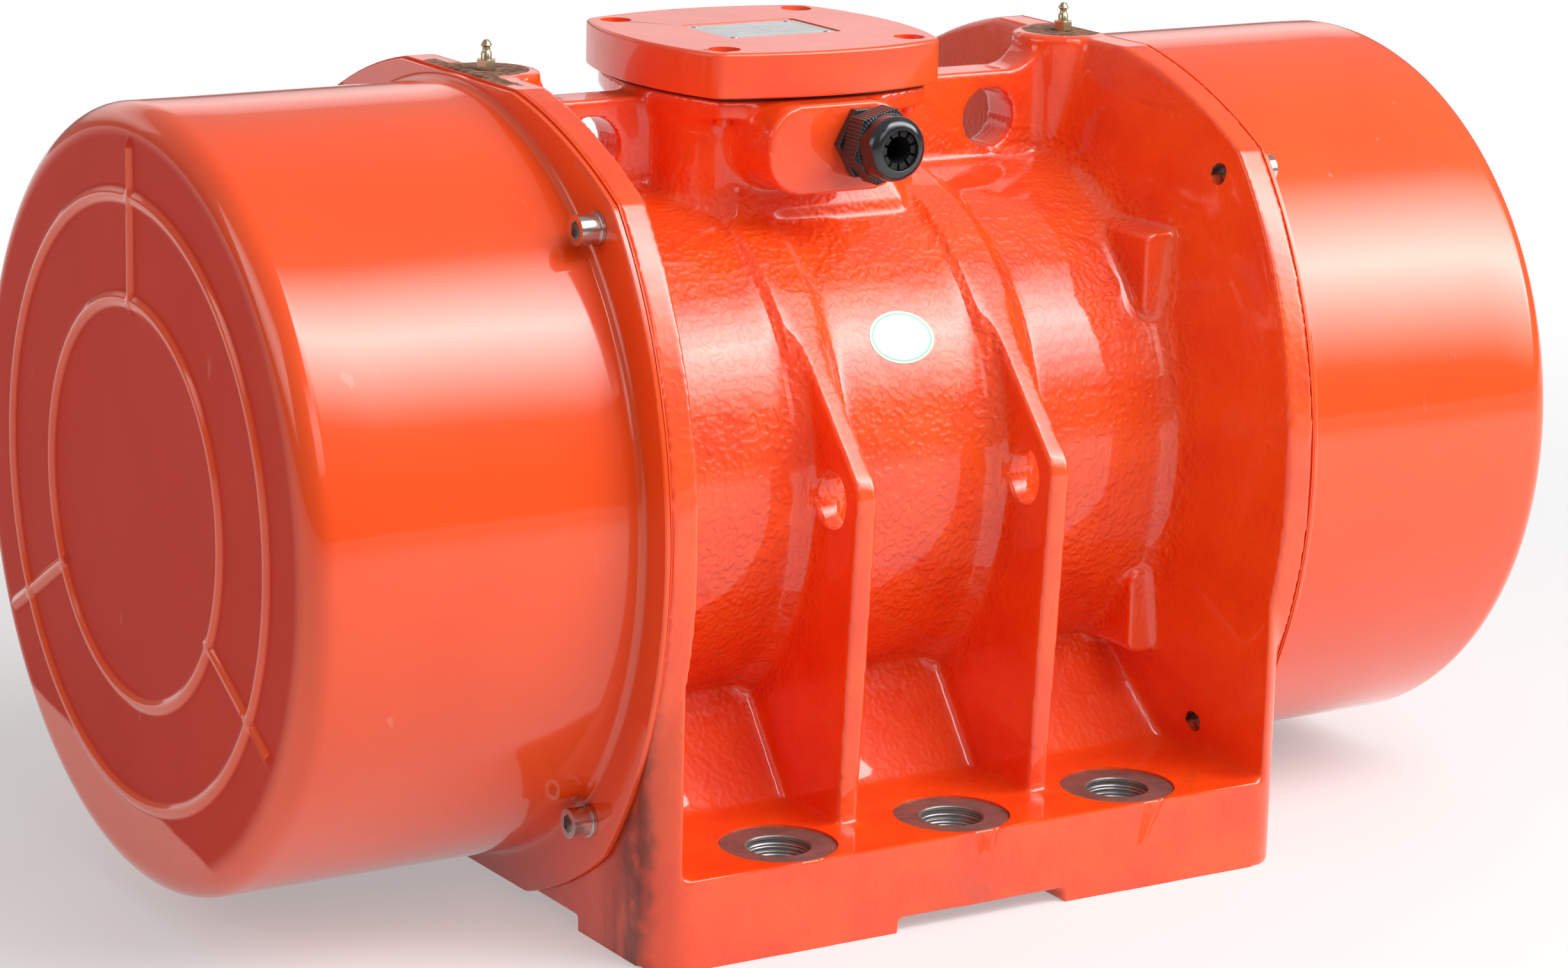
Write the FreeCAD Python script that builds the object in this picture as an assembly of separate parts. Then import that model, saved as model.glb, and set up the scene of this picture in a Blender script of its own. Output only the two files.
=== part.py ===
import FreeCAD, Part
import math
import os

# Foot-mounted vibration motor: a cast housing with two end flanges, drum covers over the unbalance
# weights, a terminal box on top and a rotor on two cylindrical roller bearings.
# Millimetres.  X runs along the shaft, -Y is the cable gland side, Z = 0 is the underside of the feet
# and the origin is below the middle of the shaft.  Right-hand pieces are drawn, left-hand ones mirrored.

V = FreeCAD.Vector

# ---- end covers: the drum sets the shaft height and the flange around it ---------------------------
COVER_R = 238.0
GROUND_GAP = 17.0          # between the drums and the floor
COVER_DEPTH = 216.0        # from the gasket to the end face
COVER_CORNER_R = 17.0
COVER_FLARE_R = 5.0
SHEET = 3.5
GASKET = 1.0
COVER_SCREW_GAP = 14.44    # from the drum's wall to each screw's middle
COVER_SCREW_R = 6.0        # M12
COVER_HEAD_R = 9.0
COVER_HEAD_HIGH = 12.0
COVER_KEY = 10.0
COVER_KEY_DEPTH = 6.0
COVER_SCREW_SPARE = 4.0    # how much shorter than its threaded hole
WASHER_R = 10.0
WASHER_THICK = 3.0
WASHER_SPLIT = 1.4
BEAD_RADII = (122.0, 184.0)
BEAD_HALF_WIDTH = 5.5
BEAD_RISE = 3.0
SPOKE_ANGLES = (90.0, 210.0, 330.0)
SPOKE_INNER = 118.0
SPOKE_OUTER = 214.0
SHAFT_Z = COVER_R + GROUND_GAP
COVER_SCREW_AT = (COVER_R + COVER_SCREW_GAP) / math.sqrt(2)    # in Y and in Z from the shaft axis

# ---- housing -------------------------------------------------------------------------------------
BARREL_R = 167.0
BARREL_WALL = 17.0
FLANGE_FACE_X = 230.0      # machined end face that the cover seats on
FLANGE_RIM = 18.0          # flange thickness at its rim
FLANGE_ROOT = 38.0         # flange thickness where it meets the barrel
FLANGE_LIP = 24.0          # how far the bulged sides reach past the drum
FLANGE_TOP_LIP = 5.0       # and the flat top
FLANGE_TOP_HALF = 72.0
FLANGE_TOP_BULGE = 6.0     # how far the upper shoulders of the outline swell past straight
CORNER_MARGIN = 16.5       # blunt corners lie this far outside the screws
ROOT_FILLET = 10.0
FOOT_INSET = 10.0          # feet stand this far inside the bulged sides
FOOT_HEIGHT = 56.0
FOOT_CORNER_R = 24.0
SHOULDER_DROP = 79.0       # below the shaft, where the bulged sides run into the upright flanks
SHOULDER_BACK = 20.0
SHOULDER_RISE = 26.0
PAD_RELIEF = 9.0           # underside is relieved by this much between the four corner pads
PAD_INNER_X = 60.5
PAD_WIDTH = 94.0
HOLE_PITCH = 125.0
HOLE_EDGE = 37.0           # from the middle of each hole to the edge of the foot
HOLE_D = 39.0              # clears M36
SPOT_D = 72.0
SPOT_DEPTH = 1.5
PEDESTAL_SETBACK = 102.0
PEDESTAL_TOP_Y = 98.0
PEDESTAL_OVERLAP = 2.2
RIB_X = 70.0
RIB_THICK = 15.0
RIB_SETBACK = 33.0         # its widest corner, in from the edge of the foot
RIB_CORNER_UP = 14.0       # above the shaft axis
RIB_FOOT_SETBACK = 46.0
RIB_EDGE_R = 10.0
RIB_HOLE_WIDE = 26.0
RIB_HOLE_HIGH = 35.0
RIB_HOLE_IN = 29.0
RIB_HOLE_DOWN = 12.0
BAND_RISE = 4.5            # raised bands that carry the ribs over the top of the barrel
BAND_WIDTH = 27.0
BAND_SLOPE = 4.0
LUG_LENGTH = 35.0          # four cast lugs against each flange
LUG_SINK = 17.0
LUG_LOW = 84.0             # below and above the shaft axis
LUG_HIGH = 137.0
LUG_EDGE_R = 7.0
LUG_ROOT_Y = 60.0
FLANGE_SIDE = COVER_R + FLANGE_LIP
FLANGE_TOP = COVER_R + FLANGE_TOP_LIP
FLANGE_CORNER = COVER_SCREW_AT + CORNER_MARGIN
FOOT_HALF_Y = FLANGE_SIDE - FOOT_INSET
HOLE_Y = FOOT_HALF_Y - HOLE_EDGE
PAD_INNER_Y = FOOT_HALF_Y - PAD_WIDTH
PEDESTAL_FOOT_Y = FOOT_HALF_Y - PEDESTAL_SETBACK
PEDESTAL_TOP_Z = SHAFT_Z - math.sqrt(BARREL_R ** 2 - PEDESTAL_TOP_Y ** 2) + PEDESTAL_OVERLAP
RIB_CORNER_Y = FOOT_HALF_Y - RIB_SETBACK
BARREL_BORE_R = BARREL_R - BARREL_WALL
BARREL_TOP_Z = SHAFT_Z + BARREL_R

# ---- terminal box --------------------------------------------------------------------------------
BOX_X = -18.0
BOX_HALF_X = 86.0
BOX_HALF_Y = 68.0
BOX_CORNER_R = 40.0
BOX_WALL = 13.0
BOX_FLOOR = 8.0            # above the barrel
BOX_DEPTH = 53.0
BOX_RIM = 12.0
BOX_RIM_CORNER = 75.0
BOX_RIM_SIDE = 91.0
BOX_FLARE_R = 14.0
SKIRT_HALF_X = 90.0
SKIRT_HALF_Y = 75.0
SKIRT_CORNER = 29.0
SKIRT_DROP = 10.0          # its edge lies this far below the top of the barrel
SKIRT_RISE = 18.0
SKIRT_LEAN = 8.0
LEAD_HOLE_R = 12.0
LEAD_HOLE_IN = 18.0
LID_MARGIN = 6.0           # lid past the rim
LID_THICK = 28.0
LID_GASKET = 2.0
LID_SCREW_AT = 67.0
LID_RECESS_D = 20.0
LID_RECESS_DEPTH = 15.0
LID_POCKET_DEPTH = 14.0
LID_SCREW_R = 5.0
LID_HEAD_R = 8.0
LID_HEAD_HIGH = 10.0
LID_KEY = 8.0
LID_KEY_DEPTH = 5.0
LID_THREAD_DEPTH = 20.0
LID_SCREW_SPARE = 3.0
SCREW_CLEARANCE = 0.5
PLATE_LENGTH = 80.0
PLATE_WIDTH = 58.0
PLATE_THICK = 1.0
PLATE_SINK = 1.8
PLATE_EDGE = 1.2
PLATE_CORNER_R = 3.0
RIVET_R = 1.9
RIVET_IN_X = 6.0
RIVET_IN_Y = 5.0
RIVET_DEPTH = 4.0
RIVET_HEAD_R = 2.6
RIVET_HEAD_H = 0.6
STUD_PITCH = 28.0
STUD_R = 4.0
STUD_REACH = 16.0
STUD_SEAT = 4.0
STUD_NUT = 13.0
STUD_NUT_HIGH = 6.0
BOARD_THICK = 12.0
BOARD_EDGE_X = 16.0
BOARD_EDGE_Y = 15.0
BOARD_GROOVE = 4.0
LINK_THICK = 2.0
LINK_HALF = 6.0
LINK_END = 7.0
EARTH_IN = 14.0
EARTH_SCREW_R = 4.0
EARTH_STEM = 0.01
EARTH_WASHER_R = 7.5
EARTH_WASHER = 1.5
BOX_FLOOR_Z = BARREL_TOP_Z + BOX_FLOOR
BOX_TOP_Z = BOX_FLOOR_Z + BOX_DEPTH
TOP_Z = BOX_TOP_Z + LID_GASKET + LID_THICK

# ---- conduit boss and cable gland ----------------------------------------------------------------
BOSS_X = -28.0
BOSS_DROP = 28.0           # its middle, below the top of the box
BOSS_REACH = 42.0          # past the wall of the box
BOSS_LENGTH = 100.0
BOSS_HEIGHT = 55.0
BOSS_CORNER_R = 25.0
GLAND_IN = 20.0            # from the middle of the boss
GLAND_RAISE = 3.0
GLAND_FLATS = 42.0         # M32 cable gland
GLAND_BASE = 6.0
GLAND_THREAD_R = 16.0
GLAND_ENTRY = 12.0
GLAND_BORE_R = 12.0
GLAND_NUT_BORE = 16.5
GLAND_NUT_LENGTH = 14.0
GLAND_NUT_REACH = 32.0
GLAND_NUT_GAP = 0.5
GLAND_GRIP = 16.0
GLAND_DOME_INSET = 0.8
GLAND_MOUTH_R = 12.5
GLAND_MOUTH_LAND = 0.5
GLAND_SEAL_R = 8.5
GLAND_SEAL_GAP = 0.2
GLAND_SEAL_SET = 2.0
GLAND_FINGERS = 10
FINGER_SLOT = 1.6
FINGER_DEPTH = 3.0
BOSS_Z = BOX_TOP_Z - BOSS_DROP
BOSS_FACE_Y = BOX_HALF_Y + BOSS_REACH
GLAND_X = BOSS_X + GLAND_IN
GLAND_Z = BOSS_Z + GLAND_RAISE

# ---- lifting webs and grease bosses --------------------------------------------------------------
WEB_THICK = 30.0
WEB_DROP = 5.0             # its top, below the top of the terminal box
WEB_SWEEP_R = 22.0
WEB_BITE = 20.0            # how far its ends run into the box and the boss
LIFT_HOLE_IN = 66.5        # from the grease boss
LIFT_HOLE_DROP = 30.0
LIFT_HOLE_D = 39.0
GREASE_IN = 17.0           # from the end face
GREASE_BOSS_R = 33.0
GREASE_PAD_R = 29.0
GREASE_PAD_RISE = 1.0
GREASE_WAY_R = 3.0
NIPPLE_THREAD_R = 5.0
NIPPLE_THREAD = 12.0
NIPPLE_FLATS = 11.0
NIPPLE_HEX = 6.0
NIPPLE_NECK_R = 3.2
NIPPLE_WAIST_R = 2.3
NIPPLE_BALL_R = 3.4
NIPPLE_TIP_R = 1.2
NIPPLE_STEM = 5.0
NIPPLE_TALL = 13.0
WEB_TOP_Z = BOX_TOP_Z - WEB_DROP
GREASE_X = FLANGE_FACE_X - GREASE_IN
LIFT_HOLE_X = GREASE_X - LIFT_HOLE_IN
LIFT_HOLE_Z = WEB_TOP_Z - LIFT_HOLE_DROP

# ---- sticker -------------------------------------------------------------------------------------
LABEL_X = 0.0
LABEL_UP = 86.0
LABEL_LONG = 46.0
LABEL_HIGH = 29.0
LABEL_THICK = 0.25

# ---- stator and rotor core -----------------------------------------------------------------------
CORE_HALF = 95.0
AIR_GAP = 1.0
ROTOR_R = 94.0
ROTOR_SEAT_R = 60.0
SLOT_COUNT = 24
SLOT_WIDTH = 8.0
SLOT_DEPTH = 28.0
SLOT_OVERRUN = 5.0
WINDING_IN = 4.0           # end windings stay back from the bore
WINDING_GAP = 9.0          # and from the barrel
WINDING_LENGTH = 38.0
WINDING_ROUND = 8.0
END_RING_OUT = 4.0
END_RING_DEEP = 22.0
END_RING_THICK = 16.0
FAN_COUNT = 8
FAN_LENGTH = 14.0
FAN_THICK = 4.0
FAN_HIGH = 16.0

# ---- bearings ------------------------------------------------------------------------------------
BEARING_IN = 60.0          # inner face of each bearing, from the flange face
BEARING_WIDTH = 73.0
BEARING_BORE_R = 50.0
BEARING_OUTER_R = 107.5
ROLLER_R = 16.0
ROLLER_OUT = 1.0           # roller circle, outside the middle of the bearing's section
ROLLER_COUNT = 13
ROLLER_GAP = 0.3
RING_LIP = 8.0
OUTER_LIP_RISE = 7.0
INNER_LIP_RISE = 6.0
CAGE_HALF = 6.0
CAGE_INSET = 2.0
BEARING_BOLT_OUT = 13.0    # pitch circle, outside the barrel's wall
BEARING_FLANGE_EDGE = 25.0
BEARING_FLANGE_THICK = 16.0
BEARING_BOLT_R = 8.0
BEARING_BOLT_COUNT = 8
BEARING_BOLT_START = 22.5
BEARING_BOLT_DEPTH = 28.0
BEARING_BOLT_FLATS = 24.0
BEARING_BOLT_HEAD = 10.0
BOLT_SPARE = 4.0
CAP_SCREW_OUT = 11.5       # pitch circle, outside the outer ring
CAP_EDGE = 11.0
CAP_STEP = 12.0
CAP_THICK = 10.0
CAP_SCREW_R = 5.0
CAP_SCREW_COUNT = 6
CAP_SCREW_DEPTH = 18.0
CAP_SCREW_FLATS = 16.0
CAP_SCREW_HEAD = 6.0
LABYRINTH_R = 64.0
RUNNING_GAP = 0.5
SLIDE_GAP = 0.05
ROLLER_PITCH_R = (BEARING_BORE_R + BEARING_OUTER_R) / 2 + ROLLER_OUT
BEARING_X = FLANGE_FACE_X - BEARING_IN
BEARING_BOLT_PCR = BARREL_R + BEARING_BOLT_OUT
CAP_SCREW_PCR = BEARING_OUTER_R + CAP_SCREW_OUT

# ---- shaft and unbalance weights -----------------------------------------------------------------
LABYRINTH_LENGTH = 20.0
WEIGHT_SEAT_R = 45.0
WEIGHT_R = 205.0
WEIGHT_THICK = 58.0
WEIGHT_HUB_R = 80.0
WEIGHT_HALF_ANGLE = 78.0
WEIGHT_GAP = 1.5
CLAMP_HALF = 36.0
CLAMP_TOP = 114.0
CLAMP_SLIT = 5.0
CLAMP_BOLT_R = 10.0
CLAMP_BOLT_UP = 92.0
CLAMP_BOLT_FLATS = 30.0
CLAMP_BOLT_HEAD = 12.5
CLAMP_NUT = 16.0
CLAMP_BOLT_TAIL = 22.0
KEY_WIDTH = 25.0
KEY_IN_SHAFT = 8.4
KEY_IN_WEIGHT = 5.6
KEY_LENGTH = 50.0
SHAFT_STEP = 4.0
SHAFT_STEP_AT = 25.0
SHAFT_BEVEL = 5.0
SHAFT_END = 6.0
SHAFT_END_BEVEL = 2.0
NUT_THREAD_R = 34.0
NUT_THICK = 16.0
NUT_R = 52.0
NUT_SLOT_HALF = 5.0
NUT_SLOT_DEEP = 5.0
NUT_SLOTS = 4
SHAFT_WASHER = 6.0
SHAFT_WASHER_R = 60.0
FIXED_WEIGHT_X = BEARING_X + BEARING_WIDTH + LABYRINTH_LENGTH

CUT = 1.0                  # cutting solids run this far past the faces they cut
AXIS = V(0, 0, SHAFT_Z)


# ---- drawing helpers -----------------------------------------------------------------------------
def box(x0, x1, y0, y1, z0, z1):
    return Part.makeBox(x1 - x0, y1 - y0, z1 - z0, V(x0, y0, z0))


def rod_x(radius, x0, x1, y=0.0, up=0.0):
    """Cylinder along X; up is measured from the shaft axis."""
    return Part.makeCylinder(radius, x1 - x0, V(x0, y, SHAFT_Z + up), V(1, 0, 0))


def rod_y(radius, y0, y1, x, z):
    return Part.makeCylinder(radius, y1 - y0, V(x, y0, z), V(0, 1, 0))


def rod_z(radius, z0, z1, x=0.0, y=0.0):
    return Part.makeCylinder(radius, z1 - z0, V(x, y, z0), V(0, 0, 1))


def ring_x(outer, inner, x0, x1):
    return rod_x(outer, x0, x1).cut(rod_x(inner, x0 - CUT, x1 + CUT))


def polygon(points):
    return Part.Face(Part.makePolygon(points + [points[0]]))


def path_face(steps):
    """Closed face from steps: ("line", a, b) or ("arc", a, through, b)."""
    edges = []
    for step in steps:
        if step[0] == "line":
            edges.append(Part.LineSegment(step[1], step[2]).toShape())
        else:
            edges.append(Part.Arc(step[1], step[2], step[3]).toShape())
    return Part.Face(Part.Wire(edges))


def turned(points):
    """Revolve a profile given as (x, radius) points about the shaft axis."""
    face = polygon([V(x, 0, SHAFT_Z + r) for x, r in points])
    return face.revolve(AXIS, V(1, 0, 0), 360)


def rounded_rect(half_a, half_b, radius, at, along_a, along_b):
    """Face of a rounded rectangle centred on at, with half sizes along two directions."""
    def point(a, b):
        return at + along_a * a + along_b * b

    bend = radius * (1 - math.sqrt(0.5))
    corners = [(1, 1), (-1, 1), (-1, -1), (1, -1)]
    arcs = []
    for sa, sb in corners:
        on_a = point(sa * half_a, sb * (half_b - radius))
        middle = point(sa * (half_a - bend), sb * (half_b - bend))
        on_b = point(sa * (half_a - radius), sb * half_b)
        arcs.append((on_a, middle, on_b) if sa * sb > 0 else (on_b, middle, on_a))
    steps = []
    for arc, following in zip(arcs, arcs[1:] + arcs[:1]):
        steps.append(("arc",) + arc)
        if (following[0] - arc[2]).Length > 1e-6:
            steps.append(("line", arc[2], following[0]))
    return path_face(steps)


def bulged_square(corner, side, at, along_a, along_b):
    """Face with four outward-curved sides that meet in blunt corners."""
    corners = [(corner, -corner), (corner, corner), (-corner, corner), (-corner, -corner)]
    middles = [(side, 0), (0, side), (-side, 0), (0, -side)]

    def point(pair):
        return at + along_a * pair[0] + along_b * pair[1]

    steps = []
    for index in range(4):
        start, end = point(corners[index]), point(corners[(index + 1) % 4])
        steps.append(("arc", start, point(middles[index]), end))
    return path_face(steps)


def cut_corners(half_a, half_b, corner, at):
    """Closed wire of a rectangle with its corners cut off, lying flat at a point."""
    points = []
    for sa, sb in ((1, 1), (-1, 1), (-1, -1), (1, -1)):
        beside = [V(sa * half_a, sb * (half_b - corner), 0), V(sa * (half_a - corner), sb * half_b, 0)]
        points += beside if sa * sb > 0 else beside[::-1]
    points = [at + point for point in points]
    return Part.makePolygon(points + [points[0]])


def hexagon(across_flats, at, axis, height, turn=0.0):
    """Hexagonal prism that starts at a point and runs along an axis."""
    radius = across_flats / math.sqrt(3)
    side = V(0, 0, 1) if abs(axis.z) < 0.5 else V(1, 0, 0)
    points = []
    for index in range(6):
        spin = FreeCAD.Rotation(axis, turn + 60 * index)
        points.append(at + spin.multVec(side) * radius)
    return polygon(points).extrude(axis * height)


def around_x(shape, count, start=0.0):
    """Copies of a shape, spaced evenly about the shaft axis."""
    copies = []
    for index in range(count):
        copy = shape.copy()
        copy.rotate(AXIS, V(1, 0, 0), start + 360.0 * index / count)
        copies.append(copy)
    return copies


def mirrored(shape):
    return shape.mirror(V(0, 0, 0), V(1, 0, 0))


def both_ends(shape):
    return shape.fuse(mirrored(shape))


def four_corners(at):
    return [(sy * at, sz * at) for sy in (-1, 1) for sz in (-1, 1)]


def socket_screw(at, axis, head_r, head_h, shank_r, shank, key, key_depth):
    """Cap screw whose head seats on the point at; axis points out of the head."""
    screw = Part.makeCylinder(head_r, head_h, at, axis)
    screw = screw.fuse(Part.makeCylinder(shank_r, shank, at - axis * shank, axis))
    return screw.cut(hexagon(key, at + axis * (head_h - key_depth), axis, key_depth + CUT))


def hex_screw(at, axis, across_flats, head_h, shank_r, shank):
    head = hexagon(across_flats, at, axis, head_h)
    return head.fuse(Part.makeCylinder(shank_r, shank, at - axis * shank, axis))


# ---- housing casting -----------------------------------------------------------------------------
def flange_outline(x):
    """Outline shared by the flange, the cover lip and the gasket, in the plane at x: four bulged
    sides, the upper one drawn in to a flat top, and the lower one cut off above the floor."""
    def at(y, up):
        return V(x, y, SHAFT_Z + up)

    corner, side, top, half = FLANGE_CORNER, FLANGE_SIDE, FLANGE_TOP, FLANGE_TOP_HALF
    lean = math.atan2(top - corner, corner - half)
    swell_y = (corner + half) / 2 + FLANGE_TOP_BULGE * math.sin(lean)
    swell_up = (corner + top) / 2 + FLANGE_TOP_BULGE * math.cos(lean)
    whole = path_face([
        ("line", at(-half, top), at(half, top)),
        ("arc", at(half, top), at(swell_y, swell_up), at(corner, corner)),
        ("arc", at(corner, corner), at(side, 0), at(corner, -corner)),
        ("arc", at(corner, -corner), at(0, -side), at(-corner, -corner)),
        ("arc", at(-corner, -corner), at(-side, 0), at(-corner, corner)),
        ("arc", at(-corner, corner), at(-swell_y, swell_up), at(-half, top)),
    ])
    low, high, wide = PAD_RELIEF - SHAFT_Z, 2 * top, 2 * side
    return whole.common(polygon([at(-wide, low), at(wide, low), at(wide, high), at(-wide, high)])).Faces[0]


def foot_block(x0, x1, height):
    """Feet and the upright lower sides of the flanges, as seen from above, with rounded corners."""
    face = rounded_rect(FLANGE_FACE_X, FOOT_HALF_Y, FOOT_CORNER_R, V(0, 0, 0), V(1, 0, 0), V(0, 1, 0))
    return face.extrude(V(0, 0, height)).common(box(x0, x1, -FOOT_HALF_Y, FOOT_HALF_Y, 0, height))


def end_flange():
    """Right-hand flange: the outline and its upright flanks, dished on the inside, with a filleted root."""
    inner_x = FLANGE_FACE_X - FLANGE_ROOT
    rim_x = FLANGE_FACE_X - FLANGE_RIM
    plate = flange_outline(inner_x).extrude(V(FLANGE_ROOT, 0, 0))
    y, z = FOOT_HALF_Y, SHAFT_Z - SHOULDER_DROP
    in_y, in_z = y - SHOULDER_BACK, z + SHOULDER_RISE
    flank = polygon([V(inner_x, -y, 0), V(inner_x, y, 0), V(inner_x, y, z), V(inner_x, in_y, in_z),
                     V(inner_x, -in_y, in_z), V(inner_x, -y, z)]).extrude(V(FLANGE_ROOT, 0, 0))
    flank = flank.common(foot_block(inner_x, FLANGE_FACE_X, in_z))
    far = 2 * FLANGE_SIDE
    dish = turned([(inner_x, 0), (inner_x, BARREL_R), (rim_x, FLANGE_SIDE), (rim_x, far),
                   (FLANGE_FACE_X, far), (FLANGE_FACE_X, 0)])
    return plate.fuse(flank).common(dish)


def root_fillet():
    """Casting fillet between the barrel and the dished face of the right-hand flange."""
    size, wall = ROOT_FILLET, FLANGE_FACE_X - FLANGE_ROOT
    lean = size * (FLANGE_ROOT - FLANGE_RIM) / (FLANGE_SIDE - BARREL_R)
    bend = size * (1 - math.sqrt(0.5))

    def at(x, r):
        return V(x, 0, SHAFT_Z + r)

    inside = BARREL_R - BARREL_WALL / 2
    face = path_face([
        ("line", at(wall + FLANGE_RIM, inside), at(wall - size, inside)),
        ("line", at(wall - size, inside), at(wall - size, BARREL_R)),
        ("arc", at(wall - size, BARREL_R), at(wall - bend, BARREL_R + bend),
         at(wall + lean, BARREL_R + size)),
        ("line", at(wall + lean, BARREL_R + size), at(wall + FLANGE_RIM, BARREL_R + size)),
        ("line", at(wall + FLANGE_RIM, BARREL_R + size), at(wall + FLANGE_RIM, inside)),
    ])
    return face.revolve(AXIS, V(1, 0, 0), 360)


def foot_relief():
    """The cross-shaped recess under the feet that leaves four corner pads."""
    far_x, far_y = FLANGE_FACE_X + CUT, FOOT_HALF_Y + CUT
    return [box(-far_x, far_x, -PAD_INNER_Y, PAD_INNER_Y, -CUT, PAD_RELIEF),
            box(-PAD_INNER_X, PAD_INNER_X, -far_y, far_y, -CUT, PAD_RELIEF)]


def pedestal():
    """Sloped block that carries the barrel on the feet."""
    length = FLANGE_FACE_X - FLANGE_ROOT / 2
    low = FOOT_HEIGHT - CUT
    foot_y, top_y, top = PEDESTAL_FOOT_Y, PEDESTAL_TOP_Y, PEDESTAL_TOP_Z
    profile = polygon([V(-length, -foot_y, low), V(-length, foot_y, low),
                       V(-length, top_y, top), V(-length, -top_y, top)])
    return profile.extrude(V(2 * length, 0, 0))


def rib(side, x):
    """Gusset from the barrel band to the foot, with a lashing hole near its corner."""
    band_r = BARREL_R + BAND_RISE
    reach = math.hypot(RIB_CORNER_Y, RIB_CORNER_UP)
    touch = math.atan2(RIB_CORNER_UP, RIB_CORNER_Y) + math.acos(band_r / reach)
    x0 = x - RIB_THICK / 2

    def at(y, z):
        return V(x0, side * y, z)

    corner_z = SHAFT_Z + RIB_CORNER_UP
    touch_y, touch_z = band_r * math.cos(touch), SHAFT_Z + band_r * math.sin(touch)
    foot_y, low = FOOT_HALF_Y - RIB_FOOT_SETBACK, FOOT_HEIGHT - CUT
    edge = V(0, RIB_CORNER_Y - foot_y, corner_z - low).normalize() * RIB_EDGE_R
    slope = V(0, RIB_CORNER_Y - touch_y, corner_z - touch_z).normalize() * RIB_EDGE_R
    below, above = (RIB_CORNER_Y - edge.y, corner_z - edge.z), (RIB_CORNER_Y - slope.y, corner_z - slope.z)
    blunt = (RIB_CORNER_Y - (edge.y + slope.y) / 4, corner_z - (edge.z + slope.z) / 4)
    face = path_face([
        ("line", at(PEDESTAL_TOP_Y, low), at(foot_y, low)),
        ("line", at(foot_y, low), at(*below)),
        ("arc", at(*below), at(*blunt), at(*above)),
        ("line", at(*above), at(touch_y, touch_z)),
        ("line", at(touch_y, touch_z), at(PEDESTAL_TOP_Y, corner_z)),
        ("line", at(PEDESTAL_TOP_Y, corner_z), at(PEDESTAL_TOP_Y, low)),
    ])
    plate = face.extrude(V(RIB_THICK, 0, 0))
    hole_at = V(x0 - CUT, side * (RIB_CORNER_Y - RIB_HOLE_IN), corner_z - RIB_HOLE_DOWN)
    hole = rounded_rect(RIB_HOLE_WIDE / 2, RIB_HOLE_HIGH / 2, RIB_HOLE_WIDE / 2, hole_at,
                        V(0, 1, 0), V(0, 0, 1))
    return plate, hole.extrude(V(RIB_THICK + 2 * CUT, 0, 0))


def rib_band(x):
    """Raised band round the barrel over a pair of ribs, with cast slopes at its edges."""
    near, far = BAND_WIDTH / 2, BAND_WIDTH / 2 + BAND_SLOPE
    inside, top = BARREL_R - BARREL_WALL / 2, BARREL_R + BAND_RISE
    return turned([(x - far, inside), (x - far, BARREL_R), (x - near, top), (x + near, top),
                   (x + far, BARREL_R), (x + far, inside)])


def lugs():
    """Four cast lugs against the inner face of one flange."""
    inner = FLANGE_FACE_X - FLANGE_RIM
    outer_y = BARREL_R - LUG_SINK
    middle = V(inner - LUG_LENGTH / 2, -outer_y, SHAFT_Z + (LUG_HIGH + LUG_LOW) / 2)
    face = rounded_rect(LUG_LENGTH / 2, (LUG_HIGH - LUG_LOW) / 2, LUG_EDGE_R, middle, V(1, 0, 0), V(0, 0, 1))
    upper = face.extrude(V(0, outer_y - LUG_ROOT_Y, 0))
    lower = upper.mirror(AXIS, V(0, 0, 1))
    front = [upper, lower]
    return front + [lug.mirror(V(0, 0, 0), V(0, 1, 0)) for lug in front]


def lifting_web(end):
    """Upright web between the terminal box and one end flange, swept up into the grease boss."""
    y0 = -WEB_THICK / 2
    start_x = end * (BOX_HALF_X - WEB_BITE) + BOX_X
    boss_x = end * (GREASE_X - math.sqrt(GREASE_BOSS_R ** 2 - y0 ** 2))
    knee_x, end_x = boss_x - end * WEB_SWEEP_R, boss_x + end * WEB_BITE
    low = BARREL_TOP_Z - BARREL_WALL / 2
    knee_z = min(WEB_TOP_Z + WEB_SWEEP_R, SHAFT_Z + FLANGE_TOP - CUT)
    bend = WEB_SWEEP_R * math.sqrt(0.5)
    face = path_face([
        ("line", V(start_x, y0, low), V(start_x, y0, WEB_TOP_Z)),
        ("line", V(start_x, y0, WEB_TOP_Z), V(knee_x, y0, WEB_TOP_Z)),
        ("arc", V(knee_x, y0, WEB_TOP_Z),
         V(knee_x + end * bend, y0, WEB_TOP_Z + (knee_z - WEB_TOP_Z) * (1 - math.sqrt(0.5))),
         V(boss_x, y0, knee_z)),
        ("line", V(boss_x, y0, knee_z), V(end_x, y0, knee_z)),
        ("line", V(end_x, y0, knee_z), V(end_x, y0, low)),
        ("line", V(end_x, y0, low), V(start_x, y0, low)),
    ])
    return face.extrude(V(0, WEB_THICK, 0))


def grease_boss():
    """Round column behind the flange that carries the grease nipple, with its machined pad."""
    top = SHAFT_Z + FLANGE_TOP
    low = SHAFT_Z + BARREL_BORE_R
    column = rod_z(GREASE_BOSS_R, low, top, GREASE_X)
    pad = rod_z(GREASE_PAD_R, top - CUT, top + GREASE_PAD_RISE, GREASE_X)
    column = column.fuse(pad)
    return column.common(box(0, FLANGE_FACE_X, -GREASE_BOSS_R, GREASE_BOSS_R, low, top + GREASE_PAD_RISE))


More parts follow.
